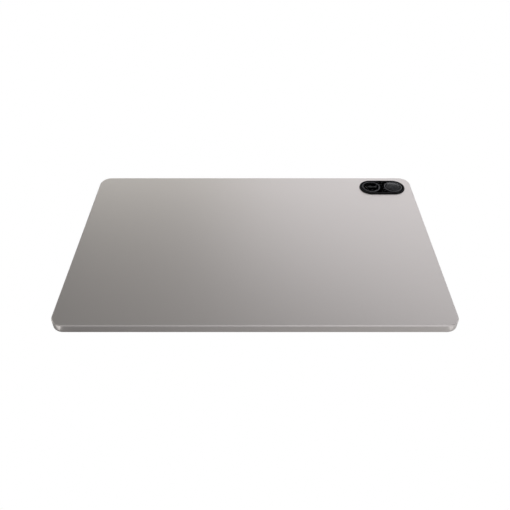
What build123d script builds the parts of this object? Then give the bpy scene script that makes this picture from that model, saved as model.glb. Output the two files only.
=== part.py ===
"""Tablet computer, lying on its screen with its back up. Lengths are millimetres.

Frame: the origin is the middle of the screen glass's outer face. +X runs along the long side, +Y
towards the long edge with the rear camera, and +Z from the screen to the back.
"""

import os

from build123d import *

# ------------------------------------------------------------------ driving dimensions
WIDTH = 277.0
HEIGHT = 179.3
THICK = 6.6
CORNER_R = 9.2

SIDE_WALL = 1.2
BACK_SKIN = 0.7
RIM_Z = 0.15  # the metal rim stands this far back from the screen's face
BACK_CHAMFER = 0.7
RIM_CHAMFER = 0.15
EDGE_SOFTEN = 0.12

ROOF_Z = THICK - BACK_SKIN
PORT_Z = (RIM_Z + THICK) / 2  # openings in the side walls lie on this level
CAVITY_W = WIDTH - 2 * SIDE_WALL
CAVITY_H = HEIGHT - 2 * SIDE_WALL
CAVITY_R = CORNER_R - SIDE_WALL

# Screen: a picture area with an even border, behind glass held in a plastic lip.
ACTIVE_W = 260.6
ACTIVE_H = 162.9
ACTIVE_R = 3.0
FIT_GAP = 0.1
LIP_T = 0.5
LIP_Z = 0.08
FRAME_W = CAVITY_W - 2 * FIT_GAP
FRAME_H = CAVITY_H - 2 * FIT_GAP
FRAME_R = CAVITY_R - FIT_GAP
GLASS_W = FRAME_W - 2 * (LIP_T + FIT_GAP)
GLASS_H = FRAME_H - 2 * (LIP_T + FIT_GAP)
GLASS_R = FRAME_R - LIP_T - FIT_GAP

# Levels of the display's layers, counted up from the glass's outer face.
GLASS_T = 0.7
PRINT_T = 0.1
OPTICAL_GLUE_T = 0.15
POLARIZER_T = 0.12
CELL_GLASS_T = 0.2
FILM_T = 0.08
FILM_PITCH = 0.09
FILM_COUNT = 3
GUIDE_T = 0.42
REFLECTOR_T = 0.1
TRAY_T = 0.15
PRINT_Z = GLASS_T
GLUE_Z = PRINT_Z + PRINT_T
FRONT_POLARIZER_Z = GLUE_Z + OPTICAL_GLUE_T
FILTER_GLASS_Z = FRONT_POLARIZER_Z + POLARIZER_T
TFT_GLASS_Z = FILTER_GLASS_Z + CELL_GLASS_T
REAR_POLARIZER_Z = TFT_GLASS_Z + CELL_GLASS_T
FILMS_Z = REAR_POLARIZER_Z + POLARIZER_T + 0.05
GUIDE_Z = FILMS_Z + FILM_COUNT * FILM_PITCH + 0.01
REFLECTOR_Z = GUIDE_Z + GUIDE_T + 0.01
TRAY_Z = REFLECTOR_Z + REFLECTOR_T
DISPLAY_BACK_Z = TRAY_Z + TRAY_T
LEDGE_Z = FRONT_POLARIZER_Z
LEDGE_T = 0.6

# Outline of the display module, which reaches further down for its driver ledge.
CELL_X = 131.4
CELL_TOP = 82.4
CELL_BOTTOM = -82.3
TFT_BOTTOM = -84.6
TRAY_X = 132.0
TRAY_TOP = 82.8
TRAY_BOTTOM = -85.0
LEDGE_X = TRAY_X + 0.4
LEDGE_TOP = TRAY_TOP + 0.2
LEDGE_BOTTOM = TRAY_BOTTOM - 1.2

# Boards and the parts on them.
BOARD_Z = 3.3
BOARD_T = 0.8
BOARD_TOP_Z = BOARD_Z + BOARD_T
FLEX_Z = DISPLAY_BACK_Z + 0.02
FLEX_T = 0.1
SCREW_HEAD_R = 1.3
SCREW_HEAD_T = 0.45
SCREW_R = 0.7
SCREW_LENGTH = 2.1
SCREW_HOLE_R = 0.85
BOSS_R = 1.7
BOSS_BORE_R = 0.75

# Rear camera pod.
POD_X = 112.5
POD_Y = 73.9
POD_LENGTH = 39.6
POD_WIDTH = 20.1
POD_TOP = THICK + 0.9
POD_GAP = 0.15
RING_PITCH = 19.4
RING_R = 7.7
RING_WIDTH = 0.75
LENS_X = POD_X + RING_PITCH / 2
LIGHT_RING_X = POD_X - RING_PITCH / 2
FLASH_X = LIGHT_RING_X - 4.2
COVER_Z = POD_TOP - 0.7
COVER_T = 0.62

# Front camera, centred on the long edge's border.
FRONT_CAMERA_Y = 84.9
BORDER_WINDOW_R = 1.6

# Keys.
KEY_HEIGHT = 2.2
KEY_PROUD = 0.35
KEY_GAP = 0.12
POWER_LENGTH = 11.0
POWER_Y = 70.0
VOLUME_LENGTH = 24.0
VOLUME_X = 96.0
VOLUME_SWITCH_X = 7.0

# Sound.
SPEAKER_Y = 43.5
GRILLE_HOLES = 12
GRILLE_HOLE_R = 0.55
GRILLE_PITCH = 1.9
MIC_HOLE_R = 0.45
TOP_MIC_X = 40.0
SIDE_MIC_Y = 14.0

# Snap hooks that hold the bezel frame in the housing.
SNAP_X = (-112.0, -72.0, -30.0, 30.0, 64.0)
SNAP_Y = (-72.0, -20.0, 20.0)
SNAP_LENGTH = 5.0
SNAP_Z = 2.9

MAIN_BOARD_SCREWS = [(95.0, -57.0), (108.5, -57.0), (95.0, 2.0), (95.0, 58.0), (108.5, 58.0)]
SUB_BOARD_SCREWS = [(-116.0, 21.0), (-116.0, -21.0), (-131.0, 21.0), (-131.0, -21.0)]
SPEAKER_SCREW_X = 115.7
SPEAKER_SCREW_Y = 14.8
SPEAKER_PLACES = {
    "speaker_box_upper_right": (1, SPEAKER_Y),
    "speaker_box_lower_right": (1, -SPEAKER_Y),
    "speaker_box_upper_left": (-1, SPEAKER_Y),
    "speaker_box_lower_left": (-1, -SPEAKER_Y),
}
SPEAKER_SCREWS = [
    (side * SPEAKER_SCREW_X, y + step)
    for side, y in SPEAKER_PLACES.values()
    for step in (-SPEAKER_SCREW_Y, SPEAKER_SCREW_Y)
]
ALL_SCREWS = MAIN_BOARD_SCREWS + SUB_BOARD_SCREWS + SPEAKER_SCREWS

TOP_WALL = Plane(origin=(0, HEIGHT / 2, 0), x_dir=(1, 0, 0), z_dir=(0, -1, 0))


# ------------------------------------------------------------------ shapes used again and again
def slab(width, depth, radius, low, high, centre=(0, 0), mode=Mode.ADD):
    """A round-cornered plate lying flat, added to or cut from the part being built."""
    with BuildSketch(Plane.XY.offset(low)) as outline:
        with Locations(centre):
            RectangleRounded(width, depth, radius)
    extrude(outline.sketch, amount=high - low, mode=mode)


def pill(length, width, low, high, centre, mode=Mode.ADD):
    """A flat plate with half-round ends, its length along X."""
    with BuildSketch(Plane.XY.offset(low)) as outline:
        with Locations(centre):
            SlotOverall(length, width)
    extrude(outline.sketch, amount=high - low, mode=mode)


def block(x_span, y_span, z_span, mode=Mode.ADD):
    """A plain block between three pairs of limits."""
    middle = [sum(span) / 2 for span in (x_span, y_span, z_span)]
    sides = [max(span) - min(span) for span in (x_span, y_span, z_span)]
    with Locations(tuple(middle)):
        Box(*sides, mode=mode)


def post(place, radius, low, high, mode=Mode.ADD):
    """A round upright post, or with mode a round hole."""
    with Locations((place[0], place[1], (low + high) / 2)):
        Cylinder(radius, high - low, mode=mode)


# ------------------------------------------------------------------ rear housing: one aluminium shell
with BuildPart() as rear_housing:
    with BuildSketch(Plane.XY.offset(RIM_Z)):
        RectangleRounded(WIDTH, HEIGHT, CORNER_R)
    extrude(amount=THICK - RIM_Z)
    chamfer(rear_housing.edges().group_by(Axis.Z)[-1], BACK_CHAMFER)
    chamfer(rear_housing.edges().group_by(Axis.Z)[0], RIM_CHAMFER)
    fillet(rear_housing.edges().group_by(Axis.Z)[-1], EDGE_SOFTEN)
    slab(CAVITY_W, CAVITY_H, CAVITY_R, RIM_Z, ROOF_Z, mode=Mode.SUBTRACT)
    # Opening for the camera pod.
    pill(
        POD_LENGTH + 2 * POD_GAP,
        POD_WIDTH + 2 * POD_GAP,
        ROOF_Z,
        THICK,
        (POD_X, POD_Y),
        mode=Mode.SUBTRACT,
    )
    # Charging port, in the middle of the left short wall.
    with BuildSketch(Plane.YZ.offset(-WIDTH / 2)):
        with Locations((0, PORT_Z)):
            SlotOverall(9.3, 3.5)
    extrude(amount=SIDE_WALL, mode=Mode.SUBTRACT)
    # Speaker grilles: drilled rows, two in each short wall.
    for side in (-1, 1):
        with BuildSketch(Plane.YZ.offset(side * (WIDTH - SIDE_WALL) / 2)):
            for row_y in (-SPEAKER_Y, SPEAKER_Y):
                with Locations((row_y, PORT_Z)):
                    with GridLocations(GRILLE_PITCH, 1, GRILLE_HOLES, 1):
                        Circle(GRILLE_HOLE_R)
        extrude(amount=SIDE_WALL, both=True, mode=Mode.SUBTRACT)
    # Microphone holes, one in the top wall and one beside the port.
    with BuildSketch(TOP_WALL):
        with Locations((TOP_MIC_X, PORT_Z)):
            Circle(MIC_HOLE_R)
    extrude(amount=SIDE_WALL, mode=Mode.SUBTRACT)
    with BuildSketch(Plane.YZ.offset(-WIDTH / 2)):
        with Locations((SIDE_MIC_Y, PORT_Z)):
            Circle(MIC_HOLE_R)
    extrude(amount=SIDE_WALL, mode=Mode.SUBTRACT)
    # Slots for the two keys.
    with BuildSketch(Plane.YZ.offset(WIDTH / 2 - SIDE_WALL)):
        with Locations((POWER_Y, PORT_Z)):
            SlotOverall(POWER_LENGTH + 2 * KEY_GAP, KEY_HEIGHT + 2 * KEY_GAP)
    extrude(amount=SIDE_WALL, mode=Mode.SUBTRACT)
    with BuildSketch(TOP_WALL):
        with Locations((VOLUME_X, PORT_Z)):
            SlotOverall(VOLUME_LENGTH + 2 * KEY_GAP, KEY_HEIGHT + 2 * KEY_GAP)
    extrude(amount=SIDE_WALL, mode=Mode.SUBTRACT)
    # Pockets that the bezel frame's snap hooks click into.
    POCKET_DEPTH = 0.4
    pocket_z = (SNAP_Z - 0.85, SNAP_Z + 0.05)
    for x in SNAP_X:
        for side in (-1, 1):
            wall = side * CAVITY_H / 2
            x_span = (x - SNAP_LENGTH / 2 - 0.2, x + SNAP_LENGTH / 2 + 0.2)
            block(x_span, (wall, wall + side * POCKET_DEPTH), pocket_z, mode=Mode.SUBTRACT)
    for y in SNAP_Y:
        for side in (-1, 1):
            wall = side * CAVITY_W / 2
            y_span = (y - SNAP_LENGTH / 2 - 0.2, y + SNAP_LENGTH / 2 + 0.2)
            block((wall, wall + side * POCKET_DEPTH), y_span, pocket_z, mode=Mode.SUBTRACT)
    # Screw bosses under the back.
    for place in ALL_SCREWS:
        post(place, BOSS_R, BOARD_TOP_Z, ROOF_Z + 0.1)
        post(place, BOSS_BORE_R, BOARD_TOP_Z, ROOF_Z - 0.1, mode=Mode.SUBTRACT)

# ------------------------------------------------------------------ bezel frame: the plastic rim around the glass
CAMERA_NOTCH = ((-3.2, 3.2), (LEDGE_TOP - 1, FRONT_CAMERA_Y + 2.3))
with BuildPart() as bezel_frame:
    slab(FRAME_W, FRAME_H, FRAME_R, LIP_Z, LEDGE_Z + LEDGE_T)
    slab(
        GLASS_W + 2 * FIT_GAP,
        GLASS_H + 2 * FIT_GAP,
        GLASS_R + FIT_GAP,
        LIP_Z,
        LEDGE_Z,
        mode=Mode.SUBTRACT,
    )
    block(
        (-LEDGE_X, LEDGE_X),
        (LEDGE_BOTTOM, LEDGE_TOP),
        (LEDGE_Z, LEDGE_Z + LEDGE_T),
        mode=Mode.SUBTRACT,
    )
    block(*CAMERA_NOTCH, (LEDGE_Z, LEDGE_Z + LEDGE_T), mode=Mode.SUBTRACT)
    # Snap hooks: a thin upright with a barb that reaches into the housing's pocket.
    HOOK_T = 0.7
    BARB = 0.3
    hook_z = (LEDGE_Z + LEDGE_T, SNAP_Z)
    barb_z = (SNAP_Z - 0.7, SNAP_Z)
    for x in SNAP_X:
        for side in (-1, 1):
            face = side * FRAME_H / 2
            x_span = (x - SNAP_LENGTH / 2, x + SNAP_LENGTH / 2)
            block(x_span, (face - side * HOOK_T, face), hook_z)
            block(x_span, (face - side * HOOK_T, face + side * BARB), barb_z)
    for y in SNAP_Y:
        for side in (-1, 1):
            face = side * FRAME_W / 2
            y_span = (y - SNAP_LENGTH / 2, y + SNAP_LENGTH / 2)
            block((face - side * HOOK_T, face), y_span, hook_z)
            block((face - side * HOOK_T, face + side * BARB), y_span, barb_z)

# ------------------------------------------------------------------ screen glass and what bonds it
with BuildPart() as cover_glass:
    slab(GLASS_W, GLASS_H, GLASS_R, 0, GLASS_T)
    fillet(cover_glass.edges().group_by(Axis.Z)[0], 0.35)
    chamfer(cover_glass.edges().group_by(Axis.Z)[-1], 0.1)

with BuildPart() as border_print:
    slab(GLASS_W - 0.4, GLASS_H - 0.4, GLASS_R - 0.2, PRINT_Z, GLUE_Z)
    slab(ACTIVE_W, ACTIVE_H, ACTIVE_R, PRINT_Z, GLUE_Z, mode=Mode.SUBTRACT)
    post((0, FRONT_CAMERA_Y), BORDER_WINDOW_R, PRINT_Z, GLUE_Z, mode=Mode.SUBTRACT)

with BuildPart() as glass_adhesive:
    slab(GLASS_W - 0.6, GLASS_H - 0.6, GLASS_R - 0.3, GLUE_Z, LEDGE_Z)
    block(
        (-LEDGE_X - 0.2, LEDGE_X + 0.2),
        (LEDGE_BOTTOM - 0.2, LEDGE_TOP + 0.2),
        (GLUE_Z, LEDGE_Z),
        mode=Mode.SUBTRACT,
    )
    block(*CAMERA_NOTCH, (GLUE_Z, LEDGE_Z), mode=Mode.SUBTRACT)

# ------------------------------------------------------------------ liquid-crystal cell
POLARIZER_X = CELL_X - 0.4
POLARIZER_Y = (CELL_BOTTOM + 0.3, CELL_TOP - 0.4)
with BuildPart() as display_glue:
    block((-POLARIZER_X, POLARIZER_X), POLARIZER_Y, (GLUE_Z, FRONT_POLARIZER_Z))
    slab(ACTIVE_W - 0.1, ACTIVE_H - 0.1, ACTIVE_R, PRINT_Z, GLUE_Z)

with BuildPart() as polarizers:
    for low in (FRONT_POLARIZER_Z, REAR_POLARIZER_Z):
        block((-POLARIZER_X, POLARIZER_X), POLARIZER_Y, (low, low + POLARIZER_T))

with BuildPart() as colour_filter_glass:
    block((-CELL_X, CELL_X), (CELL_BOTTOM, CELL_TOP), (FILTER_GLASS_Z, TFT_GLASS_Z))

with BuildPart() as transistor_glass:
    block((-CELL_X, CELL_X), (TFT_BOTTOM, CELL_TOP), (TFT_GLASS_Z, REAR_POLARIZER_Z))

with BuildPart() as display_driver_chips:
    with Locations((-35, CELL_BOTTOM - 0.8, TFT_GLASS_Z - 0.1)):
        with GridLocations(42, 1, 4, 1):
            Box(16, 0.8, 0.2)

# ------------------------------------------------------------------ backlight
SHELF_T = FILMS_Z - REAR_POLARIZER_Z
WELL_X = POLARIZER_X + 0.05
WELL_TOP = POLARIZER_Y[1] + 0.05
STRIP_BOTTOM = TFT_BOTTOM + 0.4
with BuildPart() as backlight_frame:
    block(
        (-TRAY_X + 0.2, TRAY_X - 0.2),
        (TRAY_BOTTOM + 0.2, TRAY_TOP - 0.2),
        (REAR_POLARIZER_Z, TRAY_Z),
    )
    block(
        (-WELL_X, WELL_X),
        (POLARIZER_Y[0] - 0.05, WELL_TOP),
        (REAR_POLARIZER_Z, FILMS_Z),
        mode=Mode.SUBTRACT,
    )
    block((-WELL_X, WELL_X), (STRIP_BOTTOM, WELL_TOP), (FILMS_Z, TRAY_Z), mode=Mode.SUBTRACT)

with BuildPart() as backlight_films:
    for layer in range(FILM_COUNT):
        low = FILMS_Z + layer * FILM_PITCH
        block((-WELL_X + 0.1, WELL_X - 0.1), (-81.8, 81.8), (low, low + FILM_T))
    reflector_span = (REFLECTOR_Z, REFLECTOR_Z + REFLECTOR_T)
    block((-WELL_X + 0.1, WELL_X - 0.1), (-81.8, 81.8), reflector_span)

with BuildPart() as light_guide:
    block((-WELL_X + 0.2, WELL_X - 0.2), (-82.5, 81.8), (GUIDE_Z, GUIDE_Z + GUIDE_T))

with BuildPart() as backlight_led_strip:
    block((-128, 128), (STRIP_BOTTOM + 0.1, -81.9), reflector_span)
    with Locations((0, -83.0, REFLECTOR_Z - 0.2)):
        with GridLocations(7.0, 1, 36, 1):
            Box(3.0, 0.8, 0.4)

with BuildPart() as backlight_tray:
    block((-TRAY_X, TRAY_X), (TRAY_BOTTOM, TRAY_TOP), (REAR_POLARIZER_Z + 0.05, DISPLAY_BACK_Z))
    block(
        (-TRAY_X + TRAY_T, TRAY_X - TRAY_T),
        (TRAY_BOTTOM + TRAY_T, TRAY_TOP - TRAY_T),
        (REAR_POLARIZER_Z, TRAY_Z),
        mode=Mode.SUBTRACT,
    )

# The display's cable leaves the driver ledge, turns round the tray's edge and lies on its back.
DISPLAY_FLEX_X = (84.0, 112.0)
with BuildPart() as display_flex:
    with BuildSketch(Plane.YZ.offset(DISPLAY_FLEX_X[0])):
        flex_low = TFT_GLASS_Z - FLEX_T / 2
        flex_high = FLEX_Z + FLEX_T / 2
        turn_y = TRAY_BOTTOM - 0.1
        turn_r = (flex_high - flex_low) / 2
        with BuildLine():
            Line((TFT_BOTTOM + 1.0, flex_low), (turn_y, flex_low))
            CenterArc((turn_y, flex_low + turn_r), turn_r, 270, -180)
            Line((turn_y, flex_high), (-52.0, flex_high))
        trace(line_width=FLEX_T)
    extrude(amount=DISPLAY_FLEX_X[1] - DISPLAY_FLEX_X[0])

# ------------------------------------------------------------------ rear camera pod
POD = (POD_X, POD_Y)
LENS = (LENS_X, POD_Y)
FLASH = (FLASH_X, POD_Y + 0.3)
FLANGE_Z = (ROOF_Z - 0.5, ROOF_Z - 0.1)
FLOOR_Z = COVER_Z - 0.75
with BuildPart() as camera_pod_frame:
    pill(POD_LENGTH, POD_WIDTH, FLANGE_Z[0], POD_TOP, POD)
    fillet(camera_pod_frame.edges().group_by(Axis.Z)[-1], 0.45)
    pill(POD_LENGTH + 3.4, POD_WIDTH + 3.4, *FLANGE_Z, POD)
    pill(POD_LENGTH - 2.2, POD_WIDTH - 2.2, COVER_Z - 0.05, POD_TOP, POD, mode=Mode.SUBTRACT)
    pill(POD_LENGTH - 4.2, POD_WIDTH - 4.2, FLANGE_Z[0], FLOOR_Z, POD, mode=Mode.SUBTRACT)
    post(LENS, 4.2, FLOOR_Z, COVER_Z, mode=Mode.SUBTRACT)
    post(FLASH, 0.9, FLOOR_Z, COVER_Z, mode=Mode.SUBTRACT)

with BuildPart() as camera_cover_glass:
    pill(POD_LENGTH - 2.4, POD_WIDTH - 2.4, COVER_Z, COVER_Z + COVER_T, POD)
    chamfer(camera_cover_glass.edges().group_by(Axis.Z)[-1], 0.12)

with BuildPart() as camera_rings:
    for ring_x in (LIGHT_RING_X, LENS_X):
        with BuildSketch(Plane.XY.offset(COVER_Z + COVER_T)):
            with Locations((ring_x, POD_Y)):
                Circle(RING_R)
                Circle(RING_R - RING_WIDTH, mode=Mode.SUBTRACT)
        extrude(amount=0.2)
    fillet(camera_rings.edges().group_by(Axis.Z)[-1], 0.12)

with BuildPart() as flash_window:
    post(FLASH, 0.8, BOARD_TOP_Z + 0.9, COVER_Z - 0.06)

with BuildPart() as flash_led:
    slab(1.9, 1.9, 0.3, BOARD_TOP_Z, BOARD_TOP_Z + 0.8, centre=FLASH)

# ------------------------------------------------------------------ autofocus camera behind the lens ring
MODULE = 8.5
BARREL_R = 3.2
CAMERA_BASE_Z = (2.75, 3.8)
CAMERA_CAN_TOP = FLOOR_Z - 0.1
with BuildPart() as rear_camera_base:
    slab(MODULE, MODULE, 0.5, *CAMERA_BASE_Z, centre=LENS)
    block((108.5, LENS_X), (POD_Y - 2, POD_Y + 2), (CAMERA_BASE_Z[0], CAMERA_BASE_Z[0] + FLEX_T))

with BuildPart() as rear_camera_can:
    slab(MODULE, MODULE, 0.6, CAMERA_BASE_Z[1], CAMERA_CAN_TOP, centre=LENS)
    post(LENS, BARREL_R + 0.35, CAMERA_BASE_Z[1], CAMERA_CAN_TOP, mode=Mode.SUBTRACT)

BARREL_SHOULDER_Z = 5.2
BARREL_Z = (4.1, 6.25)
with BuildPart() as rear_lens_barrel:
    post(LENS, BARREL_R, *BARREL_Z)
    chamfer(rear_lens_barrel.edges().group_by(Axis.Z)[-1], 0.25)
    post(LENS, 2.4, BARREL_SHOULDER_Z, BARREL_Z[1], mode=Mode.SUBTRACT)
    post(LENS, 1.3, BARREL_Z[0], BARREL_SHOULDER_Z, mode=Mode.SUBTRACT)

with BuildPart() as rear_lens_glass:
    LENS_GLASS_R = 2.32
    DOME_R = 4.5
    post(LENS, LENS_GLASS_R, BARREL_SHOULDER_Z + 0.05, BARREL_Z[1])
    with Locations((*LENS, BARREL_Z[1] - 0.2 - DOME_R)):
        Sphere(DOME_R, mode=Mode.INTERSECT)

# ------------------------------------------------------------------ front camera, facing the screen side
FRONT_FLEX_Z = (4.6, 4.7)
with BuildPart() as front_camera:
    block((-2.5, 2.5), (FRONT_CAMERA_Y - 2, FRONT_CAMERA_Y + 2), (1.3, FRONT_FLEX_Z[0]))
    post((0, FRONT_CAMERA_Y), 1.75, 0.85, 1.3)
    post((0, FRONT_CAMERA_Y), 1.0, 0.85, 1.15, mode=Mode.SUBTRACT)

with BuildPart() as front_camera_flex:
    block((-2.5, 99.5), (78.5, 81.5), FRONT_FLEX_Z)
    for tab_x in (0, TOP_MIC_X):
        block((tab_x - 2.5, tab_x + 2.5), (78.5, FRONT_CAMERA_Y + 2), FRONT_FLEX_Z)

# ------------------------------------------------------------------ main board and charging board
with BuildPart() as main_board:
    block((92.5, 111.0), (-60, 64), (BOARD_Z, BOARD_TOP_Z))
    block((92.5, 133.5), (63.5, 84.0), (BOARD_Z, BOARD_TOP_Z))
    slab(10.2, 10.2, 1.0, BOARD_Z, BOARD_TOP_Z, centre=LENS, mode=Mode.SUBTRACT)
    for place in MAIN_BOARD_SCREWS:
        post(place, SCREW_HOLE_R, BOARD_Z, BOARD_TOP_Z, mode=Mode.SUBTRACT)

with BuildPart() as sub_board:
    block((-134.0, -113.0), (-24, 24), (BOARD_Z, BOARD_TOP_Z))
    block((-134.0, -129.9), (-4.8, 4.8), (BOARD_Z, BOARD_TOP_Z), mode=Mode.SUBTRACT)
    for place in SUB_BOARD_SCREWS:
        post(place, SCREW_HOLE_R, BOARD_Z, BOARD_TOP_Z, mode=Mode.SUBTRACT)

# Chips: (centre x, centre y, size x, size y, height). The first four sit under the shield cans.
CHIPS = [
    (101.7, 24.0, 12.0, 12.0, 0.9),
    (101.7, 38.0, 11.0, 9.0, 0.8),
    (101.7, -14.0, 8.0, 8.0, 0.7),
    (101.7, -40.0, 7.0, 7.0, 0.7),
    (107.0, 10.0, 3.0, 3.0, 0.7),
    (-121.0, 14.0, 4.0, 4.0, 0.7),
    (-121.0, -12.0, 5.0, 5.0, 0.7),
]
with BuildPart() as board_chips:
    for x, y, size_x, size_y, height in CHIPS:
        chip_z = (BOARD_TOP_Z, BOARD_TOP_Z + height)
        block((x - size_x / 2, x + size_x / 2), (y - size_y / 2, y + size_y / 2), chip_z)

# Shield cans: (low y, high y) of each pressed steel lid on the main board.
CAN_SPANS = [(15.5, 44.5), (-24.0, -4.0), (-50.0, -30.0)]
CAN_TOP = BOARD_TOP_Z + 1.5
CAN_T = 0.15
with BuildPart() as shield_cans:
    for low_y, high_y in CAN_SPANS:
        centre = (101.75, (low_y + high_y) / 2)
        length = high_y - low_y
        slab(15.5, length, 0.8, BOARD_TOP_Z, CAN_TOP, centre=centre)
        slab(
            15.5 - 2 * CAN_T,
            length - 2 * CAN_T,
            0.65,
            BOARD_TOP_Z,
            CAN_TOP - CAN_T,
            centre=centre,
            mode=Mode.SUBTRACT,
        )

with BuildPart() as graphite_sheet:
    slab(11.0, 104.0, 1.0, ROOF_Z - 0.1, ROOF_Z, centre=(102.8, -2.0))

# Board-to-board sockets: below a board they meet the flat cables, above it the short ones.
UNDER_SOCKETS = [(98.0, -54.0, 9.0, 3.0), (97.0, -30.0, 3.0, 11.0), (-116.5, -10.0, 3.0, 11.0)]
UNDER_SOCKETS += [(99.5, 54.5, 4.0, 7.0), (110.3, POD_Y, 3.0, 4.0)]
UPPER_SOCKETS = [(97.0, 80.0, 4.5, 2.8, 0.5), (129.0, 66.8, 2.6, 4.0, 0.75)]
UPPER_SOCKETS += [(105.5, 82.2, 4.5, 2.4, 0.75)]
with BuildPart() as board_sockets:
    for x, y, size_x, size_y in UNDER_SOCKETS:
        low = CAMERA_BASE_Z[0] + FLEX_T if y == POD_Y else FLEX_Z + FLEX_T
        block((x - size_x / 2, x + size_x / 2), (y - size_y / 2, y + size_y / 2), (low, BOARD_Z))
    for x, y, size_x, size_y, height in UPPER_SOCKETS:
        socket_z = (BOARD_TOP_Z, BOARD_TOP_Z + height)
        block((x - size_x / 2, x + size_x / 2), (y - size_y / 2, y + size_y / 2), socket_z)

with BuildPart() as case_screws:
    for place in ALL_SCREWS:
        post(place, SCREW_R, BOARD_Z, BOARD_Z + SCREW_LENGTH)
        post(place, SCREW_HEAD_R, BOARD_Z - SCREW_HEAD_T, BOARD_Z)
        with Locations((*place, BOARD_Z - SCREW_HEAD_T + 0.1)):
            Box(1.4, 0.3, 0.2, mode=Mode.SUBTRACT)
            Box(0.3, 1.4, 0.2, mode=Mode.SUBTRACT)

with BuildPart() as main_flex:
    block((-118.5, 99.0), (-37, -23), (FLEX_Z, FLEX_Z + FLEX_T))
    block((-118.5, -114.5), (-37, -4), (FLEX_Z, FLEX_Z + FLEX_T))

# ------------------------------------------------------------------ charging port
PORT_MOUTH_X = -WIDTH / 2 + 0.2
PORT_BACK_X = PORT_MOUTH_X + 6.1
SHELL_T = 0.25
with BuildPart() as charge_port_shell:
    with BuildSketch(Plane.YZ.offset(PORT_MOUTH_X)):
        with Locations((0, PORT_Z)):
            SlotOverall(8.94, 3.16)
            SlotOverall(8.94 - 2 * SHELL_T, 3.16 - 2 * SHELL_T, mode=Mode.SUBTRACT)
    extrude(amount=PORT_BACK_X - PORT_MOUTH_X)

with BuildPart() as charge_port_tongue:
    tongue_z = (PORT_Z - 0.35, PORT_Z + 0.35)
    block((PORT_MOUTH_X + 0.7, PORT_BACK_X), (-3.3, 3.3), tongue_z)
    with BuildSketch(Plane.YZ.offset(PORT_BACK_X - 0.9)):
        with Locations((0, PORT_Z)):
            SlotOverall(8.4, 2.62)
    extrude(amount=0.9)
    block((PORT_BACK_X, -130.1), (-4.2, 4.2), (2.7, PORT_Z + 1.3))

# ------------------------------------------------------------------ battery
CELL_Z = (2.75, ROOF_Z - 0.15)
CELL_SIZE = (100.0, 116.0)
CELL_Y = -4.0


def battery_cell(centre_x):
    """A pouch cell: a flat body with soft long edges and a thin sealed terrace at its top."""
    top = CELL_Y + CELL_SIZE[1] / 2
    with BuildPart() as cell:
        slab(*CELL_SIZE, 2.0, *CELL_Z, centre=(centre_x, CELL_Y))
        fillet(cell.edges().group_by(Axis.Z)[0], 0.6)
        fillet(cell.edges().group_by(Axis.Z)[-1], 0.6)
        block((centre_x - 46, centre_x + 46), (top - 0.5, top + 3.5), (3.8, 4.2))
    return cell


battery_cell_left = battery_cell(-60.5)
battery_cell_right = battery_cell(40.5)

with BuildPart() as battery_board:
    block((-50, 30), (54.6, 58.6), (4.25, 5.05))
    with Locations((-10, 56.6, 5.25)):
        with GridLocations(16, 1, 5, 1):
            Box(5.0, 2.6, 0.4)

with BuildPart() as battery_flex:
    block((30, 31), (57.6, 58.6), (FLEX_Z, 5.05))
    block((30, 102), (52.5, 58.6), (FLEX_Z, FLEX_Z + FLEX_T))

with BuildPart() as battery_tapes:
    with Locations((-10, CELL_Y, (CELL_Z[1] + ROOF_Z) / 2)):
        with GridLocations(50.5, 1, 4, 1):
            Box(14, 104, ROOF_Z - CELL_Z[1])


# ------------------------------------------------------------------ speakers
BOX_Z = (2.8, ROOF_Z - 0.2)
BOX_X = (113.0, 134.6)
BOX_LENGTH = 35.0
NOZZLE_X = 137.0
NOZZLE_Z = (2.5, 4.3)
DRIVER = (18.0, 12.0)
EAR_NOTCH = 5.4


def speaker_box(side, y):
    """A sealed box with a driver well, a mouth at the side wall and two screw ears."""
    with BuildPart() as box:
        block([side * x for x in BOX_X], (y - BOX_LENGTH / 2, y + BOX_LENGTH / 2), BOX_Z)
        fillet(box.edges().filter_by(Axis.Z), 1.5)
        for end in (-1, 1):
            outer = y + end * BOX_LENGTH / 2
            notch_x = [side * x for x in (BOX_X[0], BOX_X[0] + EAR_NOTCH)]
            block(notch_x, (outer - end * EAR_NOTCH, outer), BOX_Z, mode=Mode.SUBTRACT)
        block([side * x for x in (BOX_X[1], NOZZLE_X)], (y - 12, y + 12), NOZZLE_Z)
        block([side * x for x in (124.0, NOZZLE_X)], (y - 11, y + 11), (2.85, 3.95), mode=Mode.SUBTRACT)
        with BuildSketch(Plane.XY.offset(BOX_Z[0])):
            with Locations((side * 124.5, y)):
                SlotOverall(DRIVER[0] + 0.3, DRIVER[1] + 0.3, rotation=90)
        extrude(amount=2.1, mode=Mode.SUBTRACT)
        for end in (-1, 1):
            ear = (side * SPEAKER_SCREW_X, y + end * SPEAKER_SCREW_Y)
            inner_y = y + end * (BOX_LENGTH / 2 - EAR_NOTCH)
            post(ear, 2.6, BOARD_Z, BOARD_TOP_Z)
            block([ear[0] - 2, ear[0] + 2], (inner_y - end * 0.5, ear[1]), (BOARD_Z, BOARD_TOP_Z))
            post(ear, SCREW_HOLE_R, BOARD_Z, BOARD_TOP_Z, mode=Mode.SUBTRACT)
    return box


speaker_boxes = {name: speaker_box(*place) for name, place in SPEAKER_PLACES.items()}

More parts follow.
